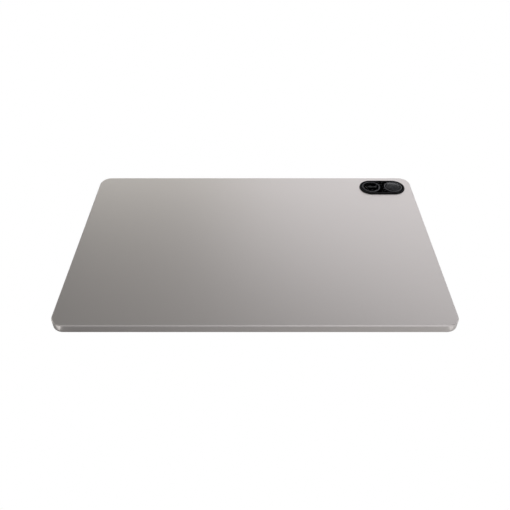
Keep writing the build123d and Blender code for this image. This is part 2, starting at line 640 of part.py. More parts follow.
with BuildPart() as speaker_drivers:
    for side, y in SPEAKER_PLACES.values():
        with BuildSketch(Plane.XY.offset(BOX_Z[0] + 0.1)):
            with Locations((side * 124.5, y)):
                SlotOverall(DRIVER[0], DRIVER[1], rotation=90)
        extrude(amount=1.0)
        with BuildSketch(Plane.XY.offset(BOX_Z[0] + 0.1)):
            with Locations((side * 124.5, y)):
                SlotOverall(DRIVER[0] - 2.4, DRIVER[1] - 2.4, rotation=90)
        extrude(amount=0.3, mode=Mode.SUBTRACT)
        block((side * 124.5 - 3.5, side * 124.5 + 3.5), (y - 5.5, y + 5.5), (3.8, 4.85))

with BuildPart() as speaker_meshes:
    for side, y in SPEAKER_PLACES.values():
        mesh_x = (side * NOZZLE_X, side * CAVITY_W / 2)
        block(mesh_x, (y - 11.8, y + 11.8), (PORT_Z - 0.9, PORT_Z + 0.85))

# ------------------------------------------------------------------ microphones
with BuildPart() as microphones:
    block((TOP_MIC_X - 1.7, TOP_MIC_X + 1.7), (83.6, 86.2), (3.6, FRONT_FLEX_Z[0]))
    block((-133.6, -131.0), (SIDE_MIC_Y - 1.7, SIDE_MIC_Y + 1.7), (BOARD_TOP_Z, BOARD_TOP_Z + 1.0))

with BuildPart() as mic_gaskets:
    block((TOP_MIC_X - 1.8, TOP_MIC_X + 1.8), (86.25, CAVITY_H / 2), (2.6, 4.4))
    with Locations(Location((TOP_MIC_X, CAVITY_H / 2 - 0.6, PORT_Z), (90, 0, 0))):
        Cylinder(MIC_HOLE_R, 1.3, mode=Mode.SUBTRACT)
    block((-CAVITY_W / 2, -134.1), (SIDE_MIC_Y - 1.8, SIDE_MIC_Y + 1.8), (2.6, 4.9))
    with Locations(Location((-CAVITY_W / 2 + 0.6, SIDE_MIC_Y, PORT_Z), (0, 90, 0))):
        Cylinder(MIC_HOLE_R, 1.3, mode=Mode.SUBTRACT)

# ------------------------------------------------------------------ power key, pressed along -X
WALL_X = CAVITY_W / 2
STRAP_Z = (2.2, 4.8)
TAIL_Z = (4.85, 4.95)
POWER_FLANGE_X = WALL_X - 0.6
with BuildPart() as power_key:
    with BuildSketch(Plane.YZ.offset(POWER_FLANGE_X)):
        with Locations((POWER_Y, PORT_Z)):
            SlotOverall(POWER_LENGTH, KEY_HEIGHT)
    extrude(amount=WIDTH / 2 + KEY_PROUD - POWER_FLANGE_X)
    chamfer(power_key.edges().group_by(Axis.X)[-1], 0.15)
    with BuildSketch(Plane.YZ.offset(POWER_FLANGE_X)):
        with Locations((POWER_Y, PORT_Z)):
            SlotOverall(POWER_LENGTH + 1.6, KEY_HEIGHT + 1.0)
    extrude(amount=0.5)
    with Locations(Location((POWER_FLANGE_X - 0.17, POWER_Y, PORT_Z), (0, 90, 0))):
        Cylinder(1.0, 0.36)

with BuildPart() as power_key_dome:
    with Locations(Location((POWER_FLANGE_X - 0.6, POWER_Y, PORT_Z), (0, 90, 0))):
        Cone(1.7, 1.1, 0.46)

with BuildPart() as power_key_flex:
    strap_x = (POWER_FLANGE_X - 1.25, POWER_FLANGE_X - 0.85)
    block(strap_x, (POWER_Y - 6, POWER_Y + 6), STRAP_Z)
    block(strap_x, (POWER_Y - 5, POWER_Y - 1.5), (STRAP_Z[1], TAIL_Z[1]))
    block((127.8, strap_x[1]), (POWER_Y - 5, POWER_Y - 1.5), TAIL_Z)

# ------------------------------------------------------------------ volume key, a rocker on the top wall
WALL_Y = CAVITY_H / 2
VOLUME_FLANGE_Y = WALL_Y - 1.0
VOLUME_PIVOT_Y = VOLUME_FLANGE_Y - 0.4
RIB_Z = (2.6, 4.2)
with BuildPart() as volume_key:
    with BuildSketch(TOP_WALL.offset(-KEY_PROUD)):
        with Locations((VOLUME_X, PORT_Z)):
            SlotOverall(VOLUME_LENGTH, KEY_HEIGHT)
    extrude(amount=HEIGHT / 2 + KEY_PROUD - VOLUME_FLANGE_Y)
    chamfer(volume_key.edges().group_by(Axis.Y)[-1], 0.15)
    with BuildSketch(TOP_WALL.offset(HEIGHT / 2 - VOLUME_FLANGE_Y - 0.5)):
        with Locations((VOLUME_X, PORT_Z)):
            SlotOverall(VOLUME_LENGTH + 1.6, KEY_HEIGHT + 1.0)
    extrude(amount=0.5)
    for step in (-VOLUME_SWITCH_X, VOLUME_SWITCH_X):
        nub = (VOLUME_X + step, VOLUME_FLANGE_Y - 0.17, PORT_Z)
        with Locations(Location(nub, (90, 0, 0))):
            Cylinder(1.0, 0.36)
    # The rounded rib that it rocks on.
    block((VOLUME_X - 0.4, VOLUME_X + 0.4), (VOLUME_PIVOT_Y, VOLUME_FLANGE_Y), RIB_Z)
    post((VOLUME_X, VOLUME_PIVOT_Y), 0.4, *RIB_Z)

with BuildPart() as volume_key_domes:
    for step in (-VOLUME_SWITCH_X, VOLUME_SWITCH_X):
        dome = (VOLUME_X + step, VOLUME_FLANGE_Y - 0.6, PORT_Z)
        with Locations(Location(dome, (-90, 0, 0))):
            Cone(1.7, 1.1, 0.46)

with BuildPart() as volume_key_flex:
    strap_y = (VOLUME_FLANGE_Y - 1.25, VOLUME_FLANGE_Y - 0.85)
    block((VOLUME_X - 11, VOLUME_X + 11), strap_y, STRAP_Z)
    block((103.5, 107.0), strap_y, (STRAP_Z[1], TAIL_Z[1]))
    block((103.5, 107.0), (81.2, strap_y[1]), TAIL_Z)

with BuildPart() as key_brackets:
    plate_x = (strap_x[0] - 0.5, strap_x[0])
    block(plate_x, (POWER_Y - 8, POWER_Y + 8), STRAP_Z)
    for end in (-1, 1):
        tab = (POWER_Y + end * 7.2, POWER_Y + end * 8)
        block((plate_x[0], WALL_X - 0.02), tab, STRAP_Z)
    plate_y = (strap_y[0] - 0.5, strap_y[0])
    block((VOLUME_X - 15, VOLUME_X + 15), plate_y, STRAP_Z)
    for end in (-1, 1):
        tab = (VOLUME_X + end * 14.2, VOLUME_X + end * 15)
        block(tab, (plate_y[0], WALL_Y - 0.02), STRAP_Z)

# ------------------------------------------------------------------ antennas and their coaxial leads
TOP_ANTENNA = (-70.0, 85.4)
LOW_ANTENNA = (24.0, -85.4)
with BuildPart() as antennas:
    for x, y in (TOP_ANTENNA, LOW_ANTENNA):
        slab(32.0, 4.6, 0.8, 3.2, 5.2, centre=(x, y))

LEAD_R = 0.4
LEAD_Z = 4.75
TOP_LEAD = [(TOP_ANTENNA[0] + 16.2, 85.4), (-46.0, 85.4), (-38.0, 66.0), (86.0, 66.0), (99.0, 48.2)]
LOW_LEAD = [(LOW_ANTENNA[0] + 16.2, -85.4), (50.0, -85.4), (60.0, -68.0), (91.5, -68.0)]
LOW_LEAD += [(91.5, -10.0), (93.0, 6.0), (98.5, 10.5)]
with BuildPart() as antenna_leads:
    for route in (TOP_LEAD, LOW_LEAD):
        with BuildLine() as lead_path:
            FilletPolyline(*[(x, y, LEAD_Z) for x, y in route], radius=4.0)
        with BuildSketch(lead_path.line ^ 0):
            Circle(LEAD_R)
        sweep(path=lead_path.line)

with BuildPart() as cover_magnets:
    with Locations((-10, -74, ROOF_Z - 0.6)):
        with GridLocations(34, 1, 6, 1):
            Box(18, 5, 1.1)

# ------------------------------------------------------------------ export, one file per piece
PIECES = {
    "rear_housing": rear_housing,
    "bezel_frame": bezel_frame,
    "cover_glass": cover_glass,
    "border_print": border_print,
    "glass_adhesive": glass_adhesive,
    "display_glue": display_glue,
    "polarizers": polarizers,
    "colour_filter_glass": colour_filter_glass,
    "transistor_glass": transistor_glass,
    "display_driver_chips": display_driver_chips,
    "backlight_frame": backlight_frame,
    "backlight_films": backlight_films,
    "light_guide": light_guide,
    "backlight_led_strip": backlight_led_strip,
    "backlight_tray": backlight_tray,
    "display_flex": display_flex,
    "camera_pod_frame": camera_pod_frame,
    "camera_cover_glass": camera_cover_glass,
    "camera_rings": camera_rings,
    "flash_window": flash_window,
    "flash_led": flash_led,
    "rear_camera_base": rear_camera_base,
    "rear_camera_can": rear_camera_can,
    "rear_lens_barrel": rear_lens_barrel,
    "rear_lens_glass": rear_lens_glass,
    "front_camera": front_camera,
    "front_camera_flex": front_camera_flex,
    "main_board": main_board,
    "sub_board": sub_board,
    "board_chips": board_chips,
    "shield_cans": shield_cans,
    "graphite_sheet": graphite_sheet,
    "board_sockets": board_sockets,
    "case_screws": case_screws,
    "main_flex": main_flex,
    "charge_port_shell": charge_port_shell,
    "charge_port_tongue": charge_port_tongue,
    "battery_cell_left": battery_cell_left,
    "battery_cell_right": battery_cell_right,
    "battery_board": battery_board,
    "battery_flex": battery_flex,
    "battery_tapes": battery_tapes,
    **speaker_boxes,
    "speaker_drivers": speaker_drivers,
    "speaker_meshes": speaker_meshes,
    "microphones": microphones,
    "mic_gaskets": mic_gaskets,
    "power_key": power_key,
    "power_key_dome": power_key_dome,
    "power_key_flex": power_key_flex,
    "volume_key": volume_key,
    "volume_key_domes": volume_key_domes,
    "volume_key_flex": volume_key_flex,
    "key_brackets": key_brackets,
    "antennas": antennas,
    "antenna_leads": antenna_leads,
    "cover_magnets": cover_magnets,
}

os.makedirs("parts", exist_ok=True)
for name, piece in PIECES.items():
    piece.part.label = name
    export_step(piece.part, f"parts/{name}.step")
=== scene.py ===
import math
import random

import bmesh
import bpy
from mathutils import Matrix, Vector


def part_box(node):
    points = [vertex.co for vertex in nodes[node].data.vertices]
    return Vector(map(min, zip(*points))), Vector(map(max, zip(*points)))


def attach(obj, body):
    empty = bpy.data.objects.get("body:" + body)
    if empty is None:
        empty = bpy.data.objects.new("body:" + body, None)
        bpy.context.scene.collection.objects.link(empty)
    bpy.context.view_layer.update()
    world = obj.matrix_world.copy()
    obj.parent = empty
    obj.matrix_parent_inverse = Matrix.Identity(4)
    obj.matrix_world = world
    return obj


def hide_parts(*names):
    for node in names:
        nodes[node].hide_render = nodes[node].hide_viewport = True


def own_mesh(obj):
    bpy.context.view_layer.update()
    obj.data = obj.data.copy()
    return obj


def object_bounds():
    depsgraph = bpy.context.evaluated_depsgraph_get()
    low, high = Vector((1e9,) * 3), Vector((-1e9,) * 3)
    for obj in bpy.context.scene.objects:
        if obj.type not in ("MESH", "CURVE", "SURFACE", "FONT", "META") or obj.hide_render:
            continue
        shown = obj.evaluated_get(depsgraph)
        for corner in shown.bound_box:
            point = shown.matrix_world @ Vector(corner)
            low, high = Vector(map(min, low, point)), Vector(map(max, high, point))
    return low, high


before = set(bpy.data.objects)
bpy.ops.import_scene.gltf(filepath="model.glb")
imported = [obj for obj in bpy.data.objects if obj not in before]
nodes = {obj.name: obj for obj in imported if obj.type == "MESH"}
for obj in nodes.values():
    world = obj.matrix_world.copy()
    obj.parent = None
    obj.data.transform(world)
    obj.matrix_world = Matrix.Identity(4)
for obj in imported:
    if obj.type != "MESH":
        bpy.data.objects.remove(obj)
cad_low, cad_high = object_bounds()
MM = 0.001

# ---------------------------------------------------------------- camera
# It stands in front of the long edge without the camera pod, a little over a third of a metre back,
# and looks down on the metal back.
CAMERA_BACK = 344.0 * MM
CAMERA_UP = 289.5 * MM
CAMERA_DOWN_DEG = 40.9
camera_data = bpy.data.cameras.new("studio_camera")
camera_data.sensor_width = 36.0
camera_data.lens = 39.89
camera = bpy.data.objects.new("studio_camera", camera_data)
camera.location = (0.0, -CAMERA_BACK, CAMERA_UP)
camera.rotation_euler = (math.radians(90.0 - CAMERA_DOWN_DEG), 0.0, 0.0)
bpy.context.scene.collection.objects.link(camera)
bpy.context.scene.camera = camera

# ---------------------------------------------------------------- studio
# A white sweep under soft lamps, a sheet of opal acrylic. A glow is painted on it, an emission and
# no lamp, that rises from left to right. It shows only in reflections and in the light it throws on
# the tablet. What is seen of it and of the room is plain white.
bpy.context.scene.view_settings.view_transform = "Standard"


def linear(hex_colour):
    """An sRGB hex colour as linear red, green, blue and alpha."""
    parts = [int(hex_colour[place : place + 2], 16) / 255 for place in (1, 3, 5)]
    return (*[c / 12.92 if c <= 0.04045 else ((c + 0.055) / 1.055) ** 2.4 for c in parts], 1.0)


def add(tree, kind, inputs=None, **settings):
    """Adds one shader node with its settings. Each input takes a value or another node's output."""
    made = tree.nodes.new("ShaderNode" + kind)
    for name, value in settings.items():
        setattr(made, name, value)
    for name, value in (inputs or {}).items():
        if isinstance(value, bpy.types.NodeSocket):
            tree.links.new(value, made.inputs[name])
        else:
            made.inputs[name].default_value = value
    return made


def new_material(name):
    """An empty node material and its tree."""
    made = bpy.data.materials.new(name)
    made.use_nodes = True
    made.node_tree.nodes.clear()
    return made, made.node_tree


SWEEP_SIZE = 12.0
SWEEP_GIVES_BACK = 0.62
SWEEP_PAINTED_GLOW = 0.34
bpy.ops.mesh.primitive_plane_add(size=SWEEP_SIZE, location=(0, 0, -0.2 * MM))
sweep = bpy.context.object
sweep.name = "studio_sweep"
sweep_with_painted_glow, tree = new_material("white_sweep_with_painted_glow")
seen = add(tree, "Emission", {"Color": linear("#FFFFFF"), "Strength": 1.0})
give_back = (SWEEP_GIVES_BACK, SWEEP_GIVES_BACK, SWEEP_GIVES_BACK, 1.0)
surface = add(tree, "BsdfDiffuse", {"Color": give_back})
across = add(tree, "SeparateXYZ", {"Vector": add(tree, "TexCoord").outputs["Object"]})
# Painted light: the sweep's emission rises from nothing at the tablet's left end to full strength at
# its right end.
painted_glow_range = {"From Min": cad_low.x, "From Max": cad_high.x, "To Min": 0.0, "To Max": SWEEP_PAINTED_GLOW}
painted_glow_rising = add(tree, "MapRange", {"Value": across.outputs["X"], **painted_glow_range})
painted_glow = add(tree, "Emission", {"Strength": painted_glow_rising.outputs["Result"]})
lit = add(tree, "AddShader", {0: surface.outputs["BSDF"], 1: painted_glow.outputs["Emission"]})
ray = add(tree, "LightPath")
mix = add(
    tree,
    "MixShader",
    {0: ray.outputs["Is Camera Ray"], 1: lit.outputs["Shader"], 2: seen.outputs["Emission"]},
)
add(tree, "OutputMaterial", {"Surface": mix.outputs["Shader"]})
sweep.data.materials.append(sweep_with_painted_glow)

ROOM_LIGHT = 0.235
world = bpy.data.worlds.new("studio_room")
world.use_nodes = True
tree = world.node_tree
tree.nodes.clear()
room = add(tree, "Background", {"Color": linear("#FFFFFF"), "Strength": ROOM_LIGHT})
white = add(tree, "Background", {"Color": linear("#FFFFFF"), "Strength": 1.0})
ray = add(tree, "LightPath")
mix = add(
    tree,
    "MixShader",
    {
        0: ray.outputs["Is Camera Ray"],
        1: room.outputs["Background"],
        2: white.outputs["Background"],
    },
)
add(tree, "OutputWorld", {"Surface": mix.outputs["Shader"]})
bpy.context.scene.world = world


def soft_lamp(name, place, behind, width, tall, brightness, blue=1.0):
    """A rectangular lamp that lights evenly, away from the direction that lies behind it."""
    lamp_data = bpy.data.lights.new(name, "AREA")
    lamp_data.shape = "RECTANGLE"
    lamp_data.size = width
    lamp_data.size_y = tall
    lamp_data.energy = brightness * math.pi * width * tall
    lamp_data.color = (1.0, 1.0, blue)
    lamp = bpy.data.objects.new(name, lamp_data)
    lamp.location = place
    lamp.rotation_mode = "QUATERNION"
    lamp.rotation_quaternion = behind.to_track_quat("Z", "Y")
    bpy.context.scene.collection.objects.link(lamp)


# Softboxes a little over a metre tall stand in rings around the table. Each has its azimuth, from
# the far side towards +X, its height angle, its width in metres and its brightness. The low ones on
# the far side light the back at a glancing angle, and those in front light the wall and its chamfer.
# The lamps on the left are a little warmer than those on the right.
LAMP_DISTANCE = 2.0
LAMP_TALL = 1.05
WARM_BLUE = 0.95
COOL_BLUE = 1.04
LAMPS = {
    "far_left_low": (-15, 8, 1.05, 2.7),
    "far_right_low": (15, 8, 1.05, 1.15),
    "right_low": (60, 8, 2.1, 0.85),
    "right_near_low": (103, 8, 1.05, 0.6),
    "left_low": (-75, 8, 1.05, 1.2),
    "front_left_low": (-135, 8, 1.05, 1.5),
    "far_right_up": (30, 32, 2.1, 0.9),
    "front_right_up": (150, 32, 2.1, 0.85),
    "front_overhead": (180, 58, 2.1, 0.55),
    "right_overhead": (75, 58, 1.05, 0.18),
}
for name, (azimuth, height_angle, width, brightness) in LAMPS.items():
    turn, tilt = math.radians(azimuth), math.radians(height_angle)
    towards = Vector(
        (math.sin(turn) * math.cos(tilt), math.cos(turn) * math.cos(tilt), math.sin(tilt))
    )
    blue = COOL_BLUE if azimuth > 0 else WARM_BLUE
    soft_lamp(name, towards * LAMP_DISTANCE, towards, width, LAMP_TALL, brightness, blue)

# Two small light tiles lie on the table by the near corners, and catch the round of the wall there.
TILE_WIDE = 24.0 * MM
TILE_DEEP = 22.0 * MM
TILE_X = 145.0 * MM
TILE_Y = -101.0 * MM
TILE_Z = 0.3 * MM
for name, side, brightness in (("left_tile", -1, 0.8), ("right_tile", 1, 0.42)):
    place = (side * TILE_X, TILE_Y, TILE_Z)
    soft_lamp(name, place, Vector((0, 0, -1)), TILE_WIDE, TILE_DEEP, brightness)


# ---------------------------------------------------------------- rear housing and keys
# One shell milled from aluminium plate, bead-blasted and anodised a warm silver. The blasting leaves
# a fine even grit that spreads reflections without a grain. The keys are milled from the same bar.
def paint(names, material):
    """Gives carried-over nodes one material."""
    for name in names:
        nodes[name].data.materials.clear()
        nodes[name].data.materials.append(material)


def grained(name, shades, grain_mm, roughness, relief_mm=0.0, stretch=(1, 1, 1), **sockets):
    """A finish with an even grain: two shades, two roughnesses and a relief that all follow it.

    The grain is drawn out along an axis where stretch is below 1, as rolling or brushing does.
    """
    made, tree = new_material(name)
    place = add(tree, "TexCoord").outputs["Object"]
    drawn = add(tree, "Mapping", {"Vector": place, "Scale": stretch}).outputs["Vector"]
    grain = add(tree, "TexNoise", {"Vector": drawn, "Scale": 1 / (grain_mm * MM), "Detail": 3.0})
    fac = grain.outputs["Fac"]
    tone = add(tree, "MixRGB", {0: fac, 1: linear(shades[0]), 2: linear(shades[1])})
    gloss = add(tree, "MapRange", {"Value": fac, "To Min": roughness[0], "To Max": roughness[1]})
    relief = add(tree, "Bump", {"Height": fac, "Strength": 0.6, "Distance": relief_mm * MM})
    inputs = {
        "Base Color": tone.outputs["Color"],
        "Roughness": gloss.outputs["Result"],
        "Normal": relief.outputs["Normal"],
    }
    inputs.update({socket.replace("_", " "): value for socket, value in sockets.items()})
    shader = add(tree, "BsdfPrincipled", inputs)
    add(tree, "OutputMaterial", {"Surface": shader.outputs["BSDF"]})
    return made


# The grit is about 0.1 mm. It is drawn at 0.35 mm, so that it still shows at arm's length.
anodised = grained(
    "bead_blasted_anodised_aluminium",
    ("#C9C4C1", "#CFCAC7"),
    grain_mm=0.35,
    roughness=(0.36, 0.44),
    relief_mm=0.001,
    Metallic=1.0,
)
paint(["rear_housing", "power_key", "volume_key"], anodised)

# ---------------------------------------------------------------- camera pod
# A tray milled from aluminium and anodised black, under a flat window of toughened glass with an
# anti-reflection coating. Two thin turned rings of dark plated steel are bonded on the window, and
# its inner face is printed black but for two round openings.
pod_black = grained(
    "black_anodised_aluminium",
    ("#030303", "#060606"),
    grain_mm=0.3,
    roughness=(0.24, 0.32),
    relief_mm=0.0002,
    Specular_IOR_Level=0.08,
)
paint(["camera_pod_frame"], pod_black)

# The coating leaves almost no reflection, so the glass has a very low IOR. A trace of haze keeps
# the small bright glints under it from sparkling.
COATED_IOR = 1.04
coated_glass, tree = new_material("coated_window_glass")
place = add(tree, "TexCoord").outputs["Object"]
smear = add(tree, "TexNoise", {"Vector": place, "Scale": 1 / (9 * MM), "Detail": 4.0})
haze = add(tree, "MapRange", {"Value": smear.outputs["Fac"], "To Min": 0.1, "To Max": 0.16})
pane = add(
    tree,
    "BsdfPrincipled",
    {
        "Base Color": linear("#F2F4F6"),
        "Roughness": haze.outputs["Result"],
        "IOR": COATED_IOR,
        "Transmission Weight": 1.0,
    },
)
add(tree, "OutputMaterial", {"Surface": pane.outputs["BSDF"]})
paint(["camera_cover_glass"], coated_glass)

ring_metal = grained(
    "dark_plated_steel",
    ("#3E3E40", "#545456"),
    grain_mm=0.25,
    roughness=(0.3, 0.4),
    relief_mm=0.0005,
    Metallic=1.0,
)
paint(["camera_rings"], ring_metal)

# ---------------------------------------------------------------- lens window and camera lens
# A shallow glass dome is bonded inside the right ring, over the camera. Under it the lens barrel, of
# black moulded plastic with light-trap grooves, carries two coated lenses and travels to focus.
rings_low, rings_high = [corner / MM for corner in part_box("camera_rings")]
glass_low, glass_high = [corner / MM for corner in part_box("camera_cover_glass")]
barrel_low, barrel_high = [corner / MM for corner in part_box("rear_lens_barrel")]
ring_r = (rings_high.y - rings_low.y) / 2
pod_y = (rings_high.y + rings_low.y) / 2
lens_centre = (rings_high.x - ring_r, pod_y)
# A turned piece is closed at its axis by a face of this radius.
TINY = 0.04


def select_in(piece, kind, wanted):
    """In edit mode, selects only the faces, edges or verts for which wanted(element) is true."""
    bpy.ops.mesh.select_mode(type={"faces": "FACE", "edges": "EDGE", "verts": "VERT"}[kind])
    bpy.ops.mesh.select_all(action="DESELECT")
    shape = bmesh.from_edit_mesh(piece.data)
    for element in getattr(shape, kind):
        element.select_set(wanted(element))
    shape.select_flush_mode()
    bmesh.update_edit_mesh(piece.data)


def clear_selection():
    """Leaves edit mode, if a piece is still in it, and selects nothing."""
    if bpy.context.mode != "OBJECT":
        bpy.ops.object.mode_set(mode="OBJECT")
    bpy.ops.object.select_all(action="DESELECT")


def turned(centre, profile, sides=64, closed=False):
    """A round piece on an upright axis through centre, in edit mode, with all of it selected.

    The profile lists radius and height pairs in millimetres. Its first ring is a circle that is
    extruded and resized to each next pair. Closed means that the last pair is the first one again.
    """
    clear_selection()
    radius, height = profile[0]
    spot = (centre[0] * MM, centre[1] * MM, height * MM)
    bpy.ops.mesh.primitive_circle_add(vertices=sides, radius=radius * MM, location=spot)
    piece = bpy.context.object
    bpy.ops.object.transform_apply(location=True, rotation=False, scale=False)
    bpy.ops.object.mode_set(mode="EDIT")
    bpy.ops.mesh.select_mode(type="VERT")
    bpy.ops.mesh.select_all(action="SELECT")
    for (radius, height), (next_radius, next_height) in zip(profile, profile[1:]):
        rise = (0, 0, (next_height - height) * MM)
        bpy.ops.mesh.extrude_edges_move(TRANSFORM_OT_translate={"value": rise})
        grow = next_radius / radius
        bpy.ops.transform.resize(value=(grow, grow, 1))
    if closed:
        bpy.ops.mesh.select_all(action="SELECT")
        bpy.ops.mesh.remove_doubles(threshold=0.001 * MM)
    else:
        bpy.ops.mesh.edge_face_add()
        bpy.ops.mesh.select_all(action="DESELECT")
        bpy.ops.mesh.select_non_manifold()
        bpy.ops.mesh.edge_face_add()
    bpy.ops.mesh.select_all(action="SELECT")
    bpy.ops.mesh.normals_make_consistent(inside=False)
    return piece


def finished(piece, name, material, body, smooth_deg=35):
    """Leaves edit mode, smooths the shallow edges, and names, paints and hangs the piece."""
    clear_selection()
    piece.select_set(True)
    bpy.context.view_layer.objects.active = piece
    bpy.ops.object.shade_smooth_by_angle(angle=math.radians(smooth_deg))
    piece.name = name
    if not piece.data.materials:
        piece.data.materials.append(material)
    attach(piece, body)
    return piece


def dome(outer, rise, low, steps=8):
    """Radius and height pairs from the rim of a shallow dome to its middle."""
    spans = [outer * (1 - step / steps) for step in range(steps)] + [TINY]
    return [(span, low + rise * (1 - (span / outer) ** 2)) for span in spans]


WINDOW_R = 6.5
WINDOW_EDGE = 0.06
WINDOW_RISE = 0.5
window_base = glass_high.z
window_profile = [(TINY, window_base), (WINDOW_R, window_base)]
window_profile += dome(WINDOW_R, WINDOW_RISE, window_base + WINDOW_EDGE, steps=12)
# The dome reflects more than the flat window, but less than bare glass does.
WINDOW_IOR = 1.21
window_glass, tree = new_material("domed_tinted_glass")
place = add(tree, "TexCoord").outputs["Object"]
smear = add(tree, "TexNoise", {"Vector": place, "Scale": 1 / (6 * MM), "Detail": 3.0})
haze = add(tree, "MapRange", {"Value": smear.outputs["Fac"], "To Min": 0.04, "To Max": 0.1})
pane = add(
    tree,
    "BsdfPrincipled",
    {
        "Base Color": linear("#707274"),
        "Roughness": haze.outputs["Result"],
        "IOR": WINDOW_IOR,
        "Transmission Weight": 1.0,
    },
)
add(tree, "OutputMaterial", {"Surface": pane.outputs["BSDF"]})
lens_window = turned(lens_centre, window_profile, 96)
finished(lens_window, "lens_window", window_glass, "chassis")

BARREL_BORE = 1.3
BARREL_MOUTH = 2.4
barrel_r = (barrel_high.x - barrel_low.x) / 2
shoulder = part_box("rear_lens_glass")[0].z / MM - 0.05
lip = barrel_high.z
barrel_profile = [(BARREL_BORE, barrel_low.z), (barrel_r - 0.1, barrel_low.z)]
barrel_profile += [(barrel_r, barrel_low.z + 0.1), (barrel_r, lip - 0.25), (barrel_r - 0.25, lip)]
for groove in range(2):
    outer = barrel_r - 0.35 - 0.2 * groove
    barrel_profile += [(outer, lip), (outer - 0.05, lip - 0.1), (outer - 0.1, lip)]
barrel_profile += [(BARREL_MOUTH, lip - 0.1), (BARREL_MOUTH, shoulder), (BARREL_BORE, shoulder)]
barrel_profile += [(BARREL_BORE, barrel_low.z)]
camera_black = grained(
    "black_moulded_camera_plastic",
    ("#101011", "#18181A"),
    grain_mm=0.2,
    roughness=(0.55, 0.7),
    relief_mm=0.002,
)
paint(["rear_camera_base", "front_camera"], camera_black)
barrel = turned(lens_centre, barrel_profile, closed=True)
finished(barrel, "focus_barrel", camera_black, "autofocus_lens")
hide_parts("rear_lens_barrel")

# Each lens is ground glass with a violet-green anti-reflection coating, a few hundred nanometres
# thick.
coated_lens, tree = new_material("coated_lens_glass")
rim = add(tree, "LayerWeight", {"Blend": 0.4})
tint = add(
    tree,
    "MixRGB",
    {0: rim.outputs["Facing"], 1: linear("#DCE6F2"), 2: linear("#B9A9D9")},
)
ground = add(
    tree,
    "BsdfPrincipled",
    {
        "Base Color": tint.outputs["Color"],
        "Roughness": 0.02,
        "IOR": 1.62,
        "Transmission Weight": 1.0,
        "Thin Film Thickness": 420.0,
        "Thin Film IOR": 1.38,
    },
)
add(tree, "OutputMaterial", {"Surface": ground.outputs["BSDF"]})
front_profile = [(TINY, shoulder + 0.15), (1.3, shoulder + 0.2), (2.28, shoulder + 0.4)]
front_profile += dome(2.3, 0.32, shoulder + 0.62)
front_lens = turned(lens_centre, front_profile)
finished(front_lens, "front_lens", coated_lens, "autofocus_lens")
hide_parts("rear_lens_glass")

inner_z = shoulder - 0.75
inner_profile = [(TINY, inner_z), (1.1, inner_z + 0.03), (1.24, inner_z + 0.15)]
inner_profile += dome(1.24, 0.25, inner_z + 0.25, steps=6)
inner_lens = turned(lens_centre, inner_profile, 48)
finished(inner_lens, "inner_lens", coated_lens, "autofocus_lens")
stop_z = shoulder - 0.9
stop_profile = [(0.7, stop_z), (1.26, stop_z), (1.26, stop_z + 0.08), (0.8, stop_z + 0.08)]
stop_profile += [(0.7, stop_z + 0.04), (0.7, stop_z)]
stop = turned(lens_centre, stop_profile, 48, closed=True)
finished(stop, "aperture_stop", camera_black, "autofocus_lens")


def block(x_span, y_span, z_span, ease=0.1, steps=2):
    """A block between three pairs of limits in millimetres, its edges eased, in edit mode."""
    clear_selection()
    spans = (x_span, y_span, z_span)
    middle = [sum(span) / 2 * MM for span in spans]
    sides = [(max(span) - min(span)) * MM for span in spans]
    bpy.ops.mesh.primitive_cube_add(size=1, location=middle, scale=sides)
    piece = bpy.context.object
    bpy.ops.object.transform_apply(location=True, rotation=False, scale=True)
    bpy.ops.object.mode_set(mode="EDIT")
    bpy.ops.mesh.select_all(action="SELECT")
    bpy.ops.mesh.bevel(offset=ease * MM, segments=steps, affect="EDGES")
    return piece


# The infrared filter lies on the sensor, below the barrel.
SENSOR_SIZE = (5.2, 4.0)
FILTER_T = 0.2
sensor_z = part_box("rear_camera_base")[1].z / MM
infrared_glass = grained(
    "blue_filter_glass",
    ("#16304A", "#1D3C58"),
    grain_mm=2.0,
    roughness=(0.02, 0.05),
    Coat_Weight=0.6,
)
half_x, half_y = SENSOR_SIZE[0] / 2, SENSOR_SIZE[1] / 2
infrared_filter = block(
    (lens_centre[0] - half_x, lens_centre[0] + half_x),
    (lens_centre[1] - half_y, lens_centre[1] + half_y),
    (sensor_z, sensor_z + FILTER_T),
    ease=0.05,
)
finished(infrared_filter, "infrared_filter", infrared_glass, "chassis")

# ---------------------------------------------------------------- flash and marking bar
# The flash is a yellow phosphor LED under a clear moulded pipe, whose top is a ringed Fresnel lens.
# A plain bar is printed beside it, on the inner face of the window.
flash_low, flash_high = [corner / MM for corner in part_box("flash_window")]
flash_centre = ((flash_low.x + flash_high.x) / 2, (flash_low.y + flash_high.y) / 2)
flash_r = (flash_high.x - flash_low.x) / 2
FLASH_EASE = 0.04
FLASH_RINGS = 4
RING_STEP = 0.07
RING_SLOPE = 0.03
eased_r = flash_r - FLASH_EASE
pipe_profile = [(TINY, flash_low.z), (eased_r, flash_low.z), (flash_r, flash_low.z + FLASH_EASE)]
pipe_profile += [(flash_r, flash_high.z - FLASH_EASE), (eased_r, flash_high.z)]
for ring in range(FLASH_RINGS):
    outer = (flash_r - 2 * FLASH_EASE) * (1 - ring / FLASH_RINGS)
    pipe_profile += [(outer, flash_high.z), (outer - RING_SLOPE, flash_high.z - RING_STEP)]
pipe_profile += [(TINY, flash_high.z)]
flash_clear = grained(
    "clear_moulded_acrylic",
    ("#E8E4D8", "#F2EFE6"),
    grain_mm=0.6,
    roughness=(0.05, 0.12),
    IOR=1.49,
    Transmission_Weight=0.8,
)
flash_pipe = turned(flash_centre, pipe_profile, 40)
finished(flash_pipe, "flash_lens", flash_clear, "chassis")
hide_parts("flash_window")

